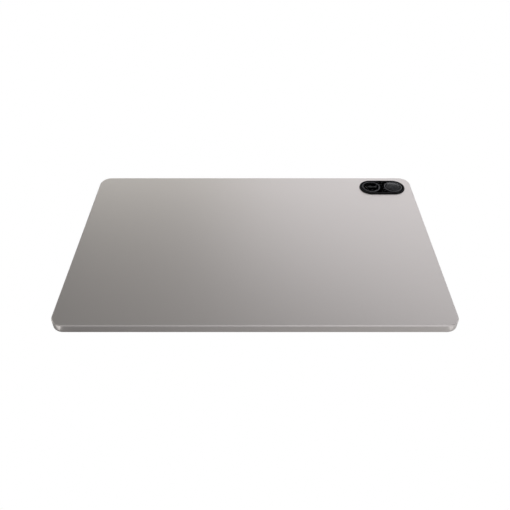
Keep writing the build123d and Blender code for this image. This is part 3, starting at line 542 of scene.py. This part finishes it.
# The print is modelled as a thin sheet: its outline and its two openings are filled between, then
# thickened. It is matt black, so that only its openings show.
PRINT_T = 0.03
PRINT_GAP = 0.01
PRINT_MARGIN = 0.15
LENS_OPENING_R = 3.0
FLASH_OPENING_R = 0.7
print_z = glass_low.z - PRINT_GAP - PRINT_T
print_ink = grained(
    "black_window_print",
    ("#020202", "#040404"),
    grain_mm=0.3,
    roughness=(0.75, 0.9),
    Specular_IOR_Level=0.0,
)
print_r = (glass_high.y - glass_low.y) / 2 - PRINT_MARGIN
print_half = (glass_high.x - glass_low.x) / 2 - PRINT_MARGIN - print_r
pod_middle = ((glass_low.x + glass_high.x) / 2, (glass_low.y + glass_high.y) / 2)


def loop_of_edges(centre, radius, height, sides):
    """A bare circle of edges, in object mode, with its place in its mesh."""
    clear_selection()
    spot = (centre[0] * MM, centre[1] * MM, height * MM)
    bpy.ops.mesh.primitive_circle_add(vertices=sides, radius=radius * MM, location=spot)
    bpy.ops.object.transform_apply(location=True, rotation=False, scale=False)
    return bpy.context.object


def joined(parts):
    """Several objects made one, in object mode."""
    clear_selection()
    for part in parts:
        part.select_set(True)
    bpy.context.view_layer.objects.active = parts[0]
    bpy.ops.object.join()
    return parts[0]


outline = loop_of_edges(pod_middle, print_r, print_z, 96)
bpy.ops.object.mode_set(mode="EDIT")
for way in (-1, 1):
    select_in(outline, "verts", lambda v: (v.co.x - pod_middle[0] * MM) * way > 0.001 * MM)
    bpy.ops.transform.translate(value=(way * print_half * MM, 0, 0))
lens_opening = loop_of_edges(lens_centre, LENS_OPENING_R, print_z, 64)
flash_opening = loop_of_edges(flash_centre, FLASH_OPENING_R, print_z, 32)
window_print = joined([outline, lens_opening, flash_opening])
bpy.ops.object.mode_set(mode="EDIT")
bpy.ops.mesh.select_mode(type="EDGE")
bpy.ops.mesh.select_all(action="SELECT")
bpy.ops.mesh.fill()
bpy.ops.mesh.select_all(action="SELECT")
bpy.ops.mesh.extrude_region_move(TRANSFORM_OT_translate={"value": (0, 0, PRINT_T * MM)})
bpy.ops.mesh.select_all(action="SELECT")
bpy.ops.mesh.normals_make_consistent(inside=False)
finished(window_print, "window_print", print_ink, "chassis")

# The bar is printed first, so it lies between the glass and the black print.
BAR_START = 1.7
BAR_END = 9.0
BAR_HEIGHT = 0.75
BAR_LIFT = 0.5
BAR_DEEP = 0.012
BAR_SHALLOW = 0.002
bar_y = flash_centre[1] + BAR_LIFT
bar_ink = grained(
    "grey_printed_ink",
    ("#50504E", "#5C5B59"),
    grain_mm=0.25,
    roughness=(0.5, 0.65),
    relief_mm=0.001,
)
bar = block(
    (flash_centre[0] + BAR_START, flash_centre[0] + BAR_END),
    (bar_y - BAR_HEIGHT / 2, bar_y + BAR_HEIGHT / 2),
    (glass_low.z - BAR_DEEP, glass_low.z - BAR_SHALLOW),
    ease=0.003,
    steps=1,
)
finished(bar, "marking_bar", bar_ink, "chassis")

phosphor = grained(
    "yellow_phosphor_on_ceramic",
    ("#D9C25A", "#EBDD8C"),
    grain_mm=0.15,
    roughness=(0.5, 0.7),
    relief_mm=0.01,
)
paint(["flash_led", "backlight_led_strip"], phosphor)

# ---------------------------------------------------------------- screen glass, print and display
# Toughened glass with a black border printed behind it. Under it the display's layers are bonded
# with clear glue: dark polarizers, two thin glasses, films, a dotted light guide and a steel tray.
screen_glass, tree = new_material("toughened_screen_glass")
place = add(tree, "TexCoord").outputs["Object"]
smear = add(tree, "TexNoise", {"Vector": place, "Scale": 1 / (25 * MM), "Detail": 4.0})
haze = add(tree, "MapRange", {"Value": smear.outputs["Fac"], "To Min": 0.0, "To Max": 0.06})
pane = add(
    tree,
    "BsdfPrincipled",
    {
        "Base Color": linear("#F1F5F3"),
        "Roughness": haze.outputs["Result"],
        "IOR": 1.5,
        "Transmission Weight": 1.0,
    },
)
add(tree, "OutputMaterial", {"Surface": pane.outputs["BSDF"]})
paint(["cover_glass"], screen_glass)

clear_glue = grained(
    "clear_optical_glue",
    ("#F4F4F0", "#FAFAF7"),
    grain_mm=15,
    roughness=(0.0, 0.03),
    IOR=1.48,
    Transmission_Weight=1.0,
)
paint(["display_glue"], clear_glue)
border_ink = grained(
    "black_screen_print",
    ("#030303", "#060607"),
    grain_mm=0.4,
    roughness=(0.3, 0.4),
    relief_mm=0.001,
)
paint(["border_print"], border_ink)
polarizer = grained(
    "dark_polarizer_film",
    ("#0A0B0D", "#0D0F11"),
    grain_mm=30,
    roughness=(0.12, 0.18),
    Coat_Weight=0.4,
)
paint(["polarizers"], polarizer)

# The cell's colour dots are 0.1 mm apart. They are drawn at 0.6 mm, so that they can show.
COLOUR_DOT_MM = 0.6
cell_glass, tree = new_material("thin_display_glass")
place = add(tree, "TexCoord").outputs["Object"]
across = 1 / (COLOUR_DOT_MM * MM)
colour_dots = add(
    tree,
    "TexBrick",
    {
        "Vector": place,
        "Color1": linear("#1B2326"),
        "Color2": linear("#20292B"),
        "Mortar": linear("#0B0E10"),
        "Scale": across,
        "Mortar Size": 0.08,
        "Brick Width": 0.5,
        "Row Height": 1.0,
    },
    offset=0.0,
)
cell = add(
    tree,
    "BsdfPrincipled",
    {"Base Color": colour_dots.outputs["Color"], "Roughness": 0.08, "Coat Weight": 0.5},
)
add(tree, "OutputMaterial", {"Surface": cell.outputs["BSDF"]})
paint(["colour_filter_glass", "transistor_glass"], cell_glass)


def bands(period_mm):
    """The wave texture's scale that gives one band in each period."""
    return math.pi / (10 * period_mm * MM)


# The prism film's ridges are 0.05 mm apart. They are drawn at 0.5 mm.
RIDGE_MM = 0.5
prism_film, tree = new_material("prismatic_diffuser_film")
place = add(tree, "TexCoord").outputs["Object"]
ridges = add(tree, "TexWave", {"Vector": place, "Scale": bands(RIDGE_MM)}, bands_direction="Y")
tone = add(
    tree,
    "MixRGB",
    {0: ridges.outputs["Fac"], 1: linear("#D9DCDF"), 2: linear("#F3F5F6")},
)
relief = add(
    tree, "Bump", {"Height": ridges.outputs["Fac"], "Strength": 0.8, "Distance": 0.02 * MM}
)
film = add(
    tree,
    "BsdfPrincipled",
    {
        "Base Color": tone.outputs["Color"],
        "Roughness": 0.3,
        "Transmission Weight": 0.3,
        "Normal": relief.outputs["Normal"],
    },
)
add(tree, "OutputMaterial", {"Surface": film.outputs["BSDF"]})
paint(["backlight_films"], prism_film)

# The guide's moulded dots, 0.3 mm apart, are drawn at 1.2 mm.
DOT_MM = 1.2
guide_acrylic, tree = new_material("dotted_light_guide_acrylic")
place = add(tree, "TexCoord").outputs["Object"]
dots = add(tree, "TexVoronoi", {"Vector": place, "Scale": 1 / (DOT_MM * MM), "Randomness": 0.25})
spot = add(
    tree,
    "MapRange",
    {"Value": dots.outputs["Distance"], "From Min": 0.2, "From Max": 0.3},
)
tone = add(
    tree,
    "MixRGB",
    {0: spot.outputs["Result"], 1: linear("#FFFFFF"), 2: linear("#DDE8EC")},
)
guide = add(
    tree,
    "BsdfPrincipled",
    {
        "Base Color": tone.outputs["Color"],
        "Roughness": 0.1,
        "IOR": 1.49,
        "Transmission Weight": 0.7,
    },
)
add(tree, "OutputMaterial", {"Surface": guide.outputs["BSDF"]})
paint(["light_guide"], guide_acrylic)

white_moulding = grained(
    "white_moulded_plastic",
    ("#E9E9E6", "#F3F3F1"),
    grain_mm=0.5,
    roughness=(0.4, 0.5),
    relief_mm=0.004,
)
paint(["backlight_frame"], white_moulding)

# ---------------------------------------------------------------- bezel frame and adhesives
# The frame is moulded in dark grey glass-filled nylon, and its lip keeps the glass off the metal.
# Black foam tape holds the glass and the battery.
bezel_nylon = grained(
    "grey_glass_filled_nylon",
    ("#2A2A2C", "#343436"),
    grain_mm=0.4,
    roughness=(0.5, 0.62),
    relief_mm=0.006,
)
paint(["bezel_frame"], bezel_nylon)
foam_tape = grained(
    "black_foam_tape",
    ("#151516", "#232325"),
    grain_mm=0.5,
    roughness=(0.8, 0.95),
    relief_mm=0.03,
)
paint(["glass_adhesive", "battery_tapes"], foam_tape)

# ---------------------------------------------------------------- front camera lens
# A small coated lens and a black light-trap ring, in the bore of the front camera, looking out
# through the clear hole in the border print.
front_low, front_high = [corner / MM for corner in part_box("front_camera")]
front_centre = ((front_low.x + front_high.x) / 2, (front_low.y + front_high.y) / 2)
mouth = front_low.z
eye_profile = [(TINY, mouth + 0.26), (0.9, mouth + 0.26), (0.96, mouth + 0.2)]
eye_rim = mouth + 0.1
eye_profile += [(span, 2 * eye_rim - height) for span, height in dome(0.94, 0.08, eye_rim)]
eye = turned(front_centre, eye_profile, 40)
finished(eye, "front_camera_lens", coated_lens, "chassis")
trap_profile = [(1.02, mouth - 0.01), (1.55, mouth - 0.01), (1.55, mouth - 0.03)]
trap_profile += [(1.3, mouth - 0.045), (1.1, mouth - 0.03), (1.02, mouth - 0.01)]
trap = turned(front_centre, trap_profile, 40, closed=True)
finished(trap, "front_camera_ring", camera_black, "chassis")

# ---------------------------------------------------------------- charging port
# A drawn steel tube with a nylon tongue in it. Twelve gold-plated contacts lie on each face of the
# tongue, and the tongue's root is a thicker collar.
port_steel = grained(
    "drawn_port_steel",
    ("#8F9092", "#A9AAAC"),
    grain_mm=0.12,
    roughness=(0.25, 0.38),
    relief_mm=0.001,
    stretch=(0.06, 1, 1),
    Metallic=1.0,
)
paint(["charge_port_shell"], port_steel)
black_nylon = grained(
    "black_connector_nylon",
    ("#111112", "#1B1B1D"),
    grain_mm=0.25,
    roughness=(0.45, 0.6),
    relief_mm=0.003,
)
paint(["charge_port_tongue", "board_sockets"], black_nylon)

CONTACTS = 12
CONTACT_SETBACK = 0.35
CONTACT_PITCH = 0.5
CONTACT_WIDTH = 0.26
CONTACT_LENGTH = 3.4
CONTACT_T = 0.03
shell_low, shell_high = [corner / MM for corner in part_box("charge_port_shell")]
tongue_mid = (shell_low.z + shell_high.z) / 2
TONGUE_HALF = 0.35
tongue_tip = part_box("charge_port_tongue")[0].x / MM


def moved_copy(piece, step):
    """A copy with its own mesh, moved by a step in millimetres."""
    twin = piece.copy()
    twin.data = piece.data.copy()
    twin.data.transform(Matrix.Translation([way * MM for way in step]))
    bpy.context.scene.collection.objects.link(twin)
    return twin


contact_gold = grained(
    "hard_gold_plating",
    ("#C9A24A", "#DDBB66"),
    grain_mm=0.2,
    roughness=(0.2, 0.32),
    relief_mm=0.0005,
    Metallic=1.0,
)
first_y = -CONTACT_PITCH * (CONTACTS - 1) / 2
contact_tip = tongue_tip + CONTACT_SETBACK
contact = block(
    (contact_tip, contact_tip + CONTACT_LENGTH),
    (first_y - CONTACT_WIDTH / 2, first_y + CONTACT_WIDTH / 2),
    (tongue_mid + TONGUE_HALF, tongue_mid + TONGUE_HALF + CONTACT_T),
    ease=0.012,
    steps=1,
)
bpy.ops.object.mode_set(mode="OBJECT")
under_step = (0, 0, -2 * TONGUE_HALF - CONTACT_T)
contacts = [contact]
contacts += [moved_copy(contact, (0, step * CONTACT_PITCH, 0)) for step in range(1, CONTACTS)]
contacts += [moved_copy(each, under_step) for each in list(contacts)]
finished(joined(contacts), "port_contacts", contact_gold, "chassis")

# ---------------------------------------------------------------- speakers
# Each sealed box of black moulded plastic holds an oval driver: a steel basket with its magnet
# behind it, and a film diaphragm on a rolled surround. Woven cloth covers the mouth at the grille.
speaker_plastic = grained(
    "black_moulded_speaker_plastic",
    ("#141415", "#202022"),
    grain_mm=0.5,
    roughness=(0.5, 0.68),
    relief_mm=0.008,
)
speaker_names = ["upper_right", "lower_right", "upper_left", "lower_left"]
paint(["speaker_box_" + name for name in speaker_names], speaker_plastic)
driver_steel = grained(
    "nickel_plated_driver_steel",
    ("#9C9A96", "#B3B1AC"),
    grain_mm=0.3,
    roughness=(0.28, 0.42),
    relief_mm=0.002,
    Metallic=1.0,
)
diaphragm_film = grained(
    "dark_diaphragm_film",
    ("#1C1B1A", "#2B2A28"),
    grain_mm=0.8,
    roughness=(0.25, 0.4),
    relief_mm=0.01,
    Coat_Weight=0.3,
)

DRIVER_WIDE = 12.0
DRIVER_LONG = 18.0
MAGNET_WIDE = 7.0
MAGNET_LONG = 11.0
DRIVER_STRETCH = (DRIVER_LONG - DRIVER_WIDE) / 2
drivers_low, drivers_high = [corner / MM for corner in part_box("speaker_drivers")]
driver_x = drivers_high.x - DRIVER_WIDE / 2
driver_y = drivers_high.y - DRIVER_LONG / 2
face_z = drivers_low.z
back_z = face_z + 1.0


def stretched_along_y(piece, centre_y, step):
    """Moves the two halves of a round piece apart, so that it becomes a straight-sided oval."""
    for way in (-1, 1):
        select_in(piece, "verts", lambda vert: (vert.co.y - centre_y * MM) * way > 0.001 * MM)
        bpy.ops.transform.translate(value=(0, way * step * MM, 0))
    bpy.ops.mesh.select_all(action="SELECT")


half = DRIVER_WIDE / 2
basket_profile = [(half - 1.0, face_z), (half - 0.1, face_z), (half, face_z + 0.1)]
basket_profile += [(half, back_z - 0.15), (half - 0.15, back_z), (half - 2.2, back_z)]
basket_profile += [(half - 2.2, back_z - 0.2), (half - 1.0, face_z + 0.25), (half - 1.0, face_z)]
film_profile = [(TINY, face_z + 0.32), (half - 2.4, face_z + 0.3), (half - 1.05, face_z + 0.3)]
film_profile += [(half - 1.05, face_z + 0.24)]
ROLL_R = 0.6
for angle in range(0, 181, 30):
    turn = math.radians(angle)
    film_profile += [(half - 1.7 + ROLL_R * math.cos(turn), face_z + 0.24 - 0.2 * math.sin(turn))]
film_profile += [(half - 2.6, face_z + 0.2), (1.6, face_z + 0.12), (TINY, face_z + 0.08)]
for name in speaker_names:
    side = 1 if name.endswith("right") else -1
    end = 1 if name.startswith("upper") else -1
    middle = (side * driver_x, end * driver_y)
    basket = turned(middle, basket_profile, 48, closed=True)
    stretched_along_y(basket, middle[1], DRIVER_STRETCH)
    magnet = block(
        (middle[0] - MAGNET_WIDE / 2, middle[0] + MAGNET_WIDE / 2),
        (middle[1] - MAGNET_LONG / 2, middle[1] + MAGNET_LONG / 2),
        (back_z - 0.1, drivers_high.z),
        ease=0.3,
        steps=3,
    )
    select_in(magnet, "faces", lambda face: face.normal.z > 0.9 and face.calc_area() > 20 * MM * MM)
    bpy.ops.mesh.inset(thickness=0.9 * MM)
    bpy.ops.transform.translate(value=(0, 0, -0.12 * MM))
    motor = joined([basket, magnet])
    finished(motor, "driver_basket_" + name, driver_steel, "chassis")
    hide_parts("speaker_drivers")
    cone = turned(middle, film_profile, 48)
    stretched_along_y(cone, middle[1], DRIVER_STRETCH)
    finished(cone, "driver_diaphragm_" + name, diaphragm_film, "chassis")

# The cloth has about six threads to the millimetre. It is drawn at three, so that the weave shows.
THREAD_MM = 0.33
mesh_cloth, tree = new_material("woven_acoustic_cloth")
place = add(tree, "TexCoord").outputs["Object"]
warp = add(tree, "TexWave", {"Vector": place, "Scale": bands(THREAD_MM)}, bands_direction="Y")
weft = add(tree, "TexWave", {"Vector": place, "Scale": bands(THREAD_MM)}, bands_direction="Z")
weave = add(tree, "Math", {0: warp.outputs["Fac"], 1: weft.outputs["Fac"]}, operation="MAXIMUM")
tone = add(
    tree,
    "MixRGB",
    {0: weave.outputs["Value"], 1: linear("#050505"), 2: linear("#3A3A3B")},
)
relief = add(
    tree, "Bump", {"Height": weave.outputs["Value"], "Strength": 1.0, "Distance": 0.08 * MM}
)
cloth = add(
    tree,
    "BsdfPrincipled",
    {
        "Base Color": tone.outputs["Color"],
        "Roughness": 0.75,
        "Sheen Weight": 0.2,
        "Normal": relief.outputs["Normal"],
    },
)
add(tree, "OutputMaterial", {"Surface": cloth.outputs["BSDF"]})
paint(["speaker_meshes"], mesh_cloth)

# ---------------------------------------------------------------- battery pouches
# Two pouch cells in aluminium laminate foil. Each has its long edges folded up its sides, a face
# that is slightly crowned, and a thin sealed terrace at the top that polyimide tape covers.
pouch_foil, tree = new_material("aluminium_laminate_pouch_foil")
place = add(tree, "TexCoord").outputs["Object"]
creases = add(tree, "TexNoise", {"Vector": place, "Scale": 1 / (14 * MM), "Detail": 5.0})
emboss = add(tree, "TexNoise", {"Vector": place, "Scale": 1 / (0.6 * MM), "Detail": 2.0})
tone = add(
    tree,
    "MixRGB",
    {0: creases.outputs["Fac"], 1: linear("#85878A"), 2: linear("#A3A5A7")},
)
gloss = add(tree, "MapRange", {"Value": emboss.outputs["Fac"], "To Min": 0.35, "To Max": 0.55})
wrinkle = add(
    tree, "Bump", {"Height": creases.outputs["Fac"], "Strength": 0.5, "Distance": 0.25 * MM}
)
relief = add(
    tree,
    "Bump",
    {
        "Height": emboss.outputs["Fac"],
        "Strength": 0.4,
        "Distance": 0.01 * MM,
        "Normal": wrinkle.outputs["Normal"],
    },
)
foil = add(
    tree,
    "BsdfPrincipled",
    {
        "Base Color": tone.outputs["Color"],
        "Metallic": 0.85,
        "Roughness": gloss.outputs["Result"],
        "Normal": relief.outputs["Normal"],
    },
)
add(tree, "OutputMaterial", {"Surface": foil.outputs["BSDF"]})

TERRACE = 3.5
TERRACE_INSET = 4.0
TERRACE_Z = (3.8, 4.2)
TAPE_INSET = 14.0
TAPE_T = 0.05
FOLD_T = 0.2
tape_amber = grained(
    "amber_polyimide_tape",
    ("#B06A1C", "#C98A34"),
    grain_mm=6,
    roughness=(0.2, 0.35),
    relief_mm=0.05,
    Coat_Weight=0.4,
)
for name in ("left", "right"):
    cell_low, cell_high = [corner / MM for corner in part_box("battery_cell_" + name)]
    body_top = cell_high.y - TERRACE
    pouch = block(
        (cell_low.x, cell_high.x),
        (cell_low.y, body_top),
        (cell_low.z, cell_high.z),
        ease=0.7,
        steps=4,
    )
    select_in(pouch, "faces", lambda face: abs(face.normal.x) > 0.95 and face.calc_area() > 1e-5)
    bpy.ops.mesh.inset(thickness=0.5 * MM)
    bpy.ops.transform.resize(value=(1 + 2 * FOLD_T / (cell_high.x - cell_low.x), 1, 1))
    select_in(pouch, "faces", lambda face: face.normal.z > 0.95 and face.calc_area() > 1e-3)
    for margin, crown in ((5.0, 0.04), (14.0, 0.03), (20.0, 0.01)):
        bpy.ops.mesh.inset(thickness=margin * MM)
        bpy.ops.transform.translate(value=(0, 0, crown * MM))
    terrace = block(
        (cell_low.x + TERRACE_INSET, cell_high.x - TERRACE_INSET),
        (body_top - 0.4, cell_high.y),
        TERRACE_Z,
        ease=0.08,
    )
    pouch = joined([pouch, terrace])
    finished(pouch, "battery_pouch_" + name, pouch_foil, "chassis", smooth_deg=50)
    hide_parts("battery_cell_" + name)
    tape = block(
        (cell_low.x + TAPE_INSET, cell_high.x - TAPE_INSET),
        (body_top + 0.3, cell_high.y - 0.2),
        (TERRACE_Z[1], TERRACE_Z[1] + TAPE_T),
        ease=0.02,
        steps=1,
    )
    finished(tape, "terrace_tape_" + name, tape_amber, "chassis")

# ---------------------------------------------------------------- boards, and what stands on them
# Glass-epoxy boards under a dark green solder mask, with copper tracks that show through it. Chips
# in black epoxy and pressed steel shield cans stand on them, among small ceramic capacitors.
TRACK_MM = 1.4
board_epoxy, tree = new_material("solder_masked_glass_epoxy")
place = add(tree, "TexCoord").outputs["Object"]
tracks = add(
    tree,
    "TexBrick",
    {
        "Vector": place,
        "Color1": linear("#0F3A2A"),
        "Color2": linear("#124332"),
        "Mortar": linear("#1F6A4C"),
        "Scale": 1 / (TRACK_MM * MM),
        "Mortar Size": 0.06,
        "Brick Width": 3.2,
        "Row Height": 0.45,
    },
    offset=0.37,
)
vias = add(tree, "TexVoronoi", {"Vector": place, "Scale": 1 / (2.2 * MM), "Randomness": 0.9})
via = add(tree, "MapRange", {"Value": vias.outputs["Distance"], "From Min": 0.1, "From Max": 0.14})
tone = add(
    tree,
    "MixRGB",
    {0: via.outputs["Result"], 1: linear("#C8B36A"), 2: tracks.outputs["Color"]},
)
relief = add(
    tree, "Bump", {"Height": tracks.outputs["Fac"], "Strength": 0.5, "Distance": 0.02 * MM}
)
board = add(
    tree,
    "BsdfPrincipled",
    {
        "Base Color": tone.outputs["Color"],
        "Roughness": 0.32,
        "Coat Weight": 0.25,
        "Normal": relief.outputs["Normal"],
    },
)
add(tree, "OutputMaterial", {"Surface": board.outputs["BSDF"]})
paint(["main_board", "sub_board", "battery_board"], board_epoxy)

chip_epoxy = grained(
    "black_chip_epoxy",
    ("#151516", "#212123"),
    grain_mm=0.3,
    roughness=(0.5, 0.66),
    relief_mm=0.006,
)
paint(["board_chips", "display_driver_chips"], chip_epoxy)
rolled_steel = grained(
    "rolled_tinned_steel",
    ("#A5A7A8", "#BFC0C0"),
    grain_mm=0.3,
    roughness=(0.28, 0.42),
    relief_mm=0.002,
    stretch=(1, 0.08, 1),
    Metallic=1.0,
)
paint(["backlight_tray", "key_brackets", "rear_camera_can", "microphones"], rolled_steel)

# The lids of the shield cans have a rounded edge and a pressed seam inside it.
CAN_SPANS = [(15.5, 44.5), (-24.0, -4.0), (-50.0, -30.0)]
cans_low, cans_high = [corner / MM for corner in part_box("shield_cans")]
for number, y_span in enumerate(CAN_SPANS):
    can = block((cans_low.x, cans_high.x), y_span, (cans_low.z, cans_high.z), ease=0.35, steps=3)
    select_in(can, "faces", lambda face: face.normal.z > 0.95 and face.calc_area() > 1e-5)
    for margin, drop in ((0.7, 0.0), (0.2, -0.1), (0.4, 0.0), (0.2, 0.1)):
        bpy.ops.mesh.inset(thickness=margin * MM)
        bpy.ops.transform.translate(value=(0, 0, drop * MM))
    finished(can, f"shield_can_{number + 1}", rolled_steel, "chassis")
    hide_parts("shield_cans")

# Small capacitors, scattered over the clear stretches of the boards: x span, y span and how many.
CLEAR_PATCHES = [
    ((97.5, 109.0), (-2.5, 7.0), 16),
    ((97.5, 109.0), (46.5, 51.5), 9),
    ((101.0, 115.5), (68.5, 78.0), 22),
    ((127.5, 132.5), (70.5, 79.5), 8),
    ((-128.0, -115.0), (-5.5, 9.0), 20),
    ((-128.0, -115.0), (-20.0, -16.0), 7),
]
PART_PITCH = 2.0
PART_LONG = 1.2
PART_WIDE = 0.64
PART_TALL = 0.5
PART_BODY = 0.7
PART_NUDGE = 0.15
board_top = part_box("main_board")[1].z / MM
ceramic = grained(
    "capacitor_ceramic",
    ("#8A6A48", "#A07C56"),
    grain_mm=0.3,
    roughness=(0.4, 0.55),
    relief_mm=0.003,
)
tin = grained(
    "tinned_solder_ends",
    ("#B9BBBD", "#D0D1D2"),
    grain_mm=0.2,
    roughness=(0.25, 0.4),
    relief_mm=0.004,
    Metallic=1.0,
)
model_part = block(
    (-PART_LONG / 2, PART_LONG / 2),
    (-PART_WIDE / 2, PART_WIDE / 2),
    (board_top, board_top + PART_TALL),
    ease=0.05,
    steps=1,
)
for way in (-1, 1):
    bpy.ops.mesh.select_all(action="SELECT")
    bpy.ops.mesh.bisect(plane_co=(way * PART_BODY / 2 * MM, 0, 0), plane_no=(1, 0, 0))
bpy.ops.object.mode_set(mode="OBJECT")
model_part.data.materials.append(ceramic)
model_part.data.materials.append(tin)
for face in model_part.data.polygons:
    face.material_index = 1 if abs(face.center.x) > PART_BODY / 2 * MM else 0
dice = random.Random(7)
parts = []
for x_span, y_span, count in CLEAR_PATCHES:
    columns = int((x_span[1] - x_span[0]) / PART_PITCH)
    rows = int((y_span[1] - y_span[0]) / PART_PITCH)
    spots = [(column, line) for column in range(columns + 1) for line in range(rows + 1)]
    for column, line in dice.sample(spots, min(count, len(spots))):
        part = moved_copy(model_part, (0, 0, 0))
        if dice.random() < 0.5:
            part.data.transform(Matrix.Rotation(math.pi / 2, 4, "Z"))
        nudge = [dice.uniform(-PART_NUDGE, PART_NUDGE) for _ in range(2)]
        place_x = x_span[0] + column * PART_PITCH + nudge[0]
        place_y = y_span[0] + line * PART_PITCH + nudge[1]
        part.data.transform(Matrix.Translation((place_x * MM, place_y * MM, 0)))
        parts.append(part)
bpy.data.objects.remove(model_part)
finished(joined(parts), "board_capacitors", ceramic, "chassis")

graphite = grained(
    "rolled_graphite_foil",
    ("#26272A", "#3C3D41"),
    grain_mm=0.4,
    roughness=(0.32, 0.5),
    relief_mm=0.006,
    Metallic=0.6,
)
paint(["graphite_sheet"], graphite)

# ---------------------------------------------------------------- screws and magnets
# Small black-zinc machine screws with turned heads and cross recesses. The cover magnets are
# nickel-plated and tumbled.
screw_steel = grained(
    "black_zinc_screw_steel",
    ("#3A3A3C", "#4B4B4E"),
    grain_mm=0.15,
    roughness=(0.3, 0.45),
    relief_mm=0.002,
    Metallic=1.0,
)
paint(["case_screws"], screw_steel)
nickel = grained(
    "tumbled_nickel_plating",
    ("#B4B2AC", "#C8C6C0"),
    grain_mm=0.8,
    roughness=(0.2, 0.34),
    relief_mm=0.004,
    Metallic=1.0,
)
paint(["cover_magnets"], nickel)

# ---------------------------------------------------------------- key domes
# Each key presses a snap dome, a disc of spring steel pressed to a shallow cap. The cap flattens
# under the key's nub, and its rim stays on the flexible strap.
dome_steel = grained(
    "spring_steel_snap_dome",
    ("#B9B8B3", "#CFCEC9"),
    grain_mm=0.2,
    roughness=(0.16, 0.28),
    relief_mm=0.001,
    Metallic=1.0,
)
DOME_R = 1.7
DOME_RISE = 0.46
key_level = (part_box("power_key")[0].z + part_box("power_key")[1].z) / 2 / MM


def snap_dome(place, quarter_turn, turn_axis):
    """A snap dome with its rim's middle at place, turned from facing up to facing outwards."""
    low = place[2]
    cap = [(TINY, low), (DOME_R - 0.25, low), (DOME_R, low), (DOME_R, low + 0.08)]
    cap += [(DOME_R - 0.15, low + 0.1)] + dome(DOME_R - 0.25, DOME_RISE - 0.11, low + 0.11)
    piece = turned(place[:2], cap, 40)
    bpy.ops.transform.rotate(
        value=quarter_turn,
        orient_axis=turn_axis,
        center_override=[way * MM for way in place],
    )
    return piece


power_low, power_high = [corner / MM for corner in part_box("power_key_dome")]
power_place = (power_low.x, (power_low.y + power_high.y) / 2, key_level)
power_dome = snap_dome(power_place, -math.pi / 2, "Y")
finished(power_dome, "power_snap_dome", dome_steel, "chassis")
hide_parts("power_key_dome")
volume_low, volume_high = [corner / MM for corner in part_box("volume_key_domes")]
for way, end_x in ((-1, volume_low.x + DOME_R), (1, volume_high.x - DOME_R)):
    volume_place = (end_x, volume_low.y, key_level)
    volume_dome = snap_dome(volume_place, math.pi / 2, "X")
    name = "volume_up_snap_dome" if way > 0 else "volume_down_snap_dome"
    finished(volume_dome, name, dome_steel, "chassis")
    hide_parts("volume_key_domes")
    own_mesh(volume_dome)
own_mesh(power_dome)

# ---------------------------------------------------------------- flat cables
# Polyimide film with copper tracks inside, amber where there is no copper. The tracks are 0.1 mm
# apart, and are drawn at 0.8 mm.
TRACE_MM = 0.8
for axis, names in (
    ("Y", ["main_flex", "front_camera_flex", "power_key_flex"]),
    ("X", ["display_flex", "battery_flex", "volume_key_flex"]),
):
    flex_film, tree = new_material("polyimide_film_with_copper_" + axis.lower())
    place = add(tree, "TexCoord").outputs["Object"]
    lines = add(tree, "TexWave", {"Vector": place, "Scale": bands(TRACE_MM)}, bands_direction=axis)
    copper = add(
        tree,
        "MapRange",
        {"Value": lines.outputs["Fac"], "From Min": 0.45, "From Max": 0.6},
    )
    tone = add(
        tree,
        "MixRGB",
        {0: copper.outputs["Result"], 1: linear("#7A4A12"), 2: linear("#B4711F")},
    )
    relief = add(
        tree, "Bump", {"Height": copper.outputs["Result"], "Strength": 0.6, "Distance": 0.02 * MM}
    )
    flex = add(
        tree,
        "BsdfPrincipled",
        {
            "Base Color": tone.outputs["Color"],
            "Roughness": 0.28,
            "Coat Weight": 0.4,
            "Normal": relief.outputs["Normal"],
        },
    )
    add(tree, "OutputMaterial", {"Surface": flex.outputs["BSDF"]})
    paint(names, flex_film)

# ---------------------------------------------------------------- antennas, leads and gaskets
# Each antenna is a black plastic carrier with a gold pattern plated on it by laser. A thin coaxial
# lead runs from it to a round gold plug on the main board. The microphones sit in rubber gaskets.
antenna_plastic, tree = new_material("laser_plated_antenna_plastic")
place = add(tree, "TexCoord").outputs["Object"]
pattern = add(
    tree,
    "TexBrick",
    {
        "Vector": place,
        "Color1": linear("#C8A250"),
        "Color2": linear("#C8A250"),
        "Mortar": linear("#141415"),
        "Scale": 1 / (5 * MM),
        "Mortar Size": 0.09,
        "Brick Width": 1.6,
        "Row Height": 0.5,
    },
    offset=0.5,
)
relief = add(
    tree, "Bump", {"Height": pattern.outputs["Fac"], "Strength": 0.5, "Distance": 0.03 * MM}
)
carrier = add(
    tree,
    "BsdfPrincipled",
    {
        "Base Color": pattern.outputs["Color"],
        "Roughness": 0.4,
        "Normal": relief.outputs["Normal"],
    },
)
add(tree, "OutputMaterial", {"Surface": carrier.outputs["BSDF"]})
paint(["antennas"], antenna_plastic)
lead_jacket = grained(
    "grey_fluoropolymer_jacket",
    ("#3B3C3F", "#4A4B4F"),
    grain_mm=0.6,
    roughness=(0.3, 0.42),
    relief_mm=0.004,
)
paint(["antenna_leads"], lead_jacket)
PLUG_PLACES = [(99.0, 48.2), (98.5, 10.5)]
for number, plug_place in enumerate(PLUG_PLACES):
    plug_profile = [(TINY, board_top), (1.05, board_top), (1.05, board_top + 0.35)]
    plug_profile += [(0.95, board_top + 0.42), (1.15, board_top + 0.55), (1.15, board_top + 1.1)]
    plug_profile += [(1.0, board_top + 1.2), (0.4, board_top + 1.2), (0.3, board_top + 1.12)]
    plug_profile += [(TINY, board_top + 1.12)]
    plug = turned(plug_place, plug_profile, 40)
    finished(plug, f"coaxial_plug_{number + 1}", contact_gold, "chassis")
gasket_rubber = grained(
    "silicone_gasket_rubber",
    ("#1A1A1B", "#262628"),
    grain_mm=0.7,
    roughness=(0.7, 0.85),
    relief_mm=0.01,
)
paint(["mic_gaskets"], gasket_rubber)
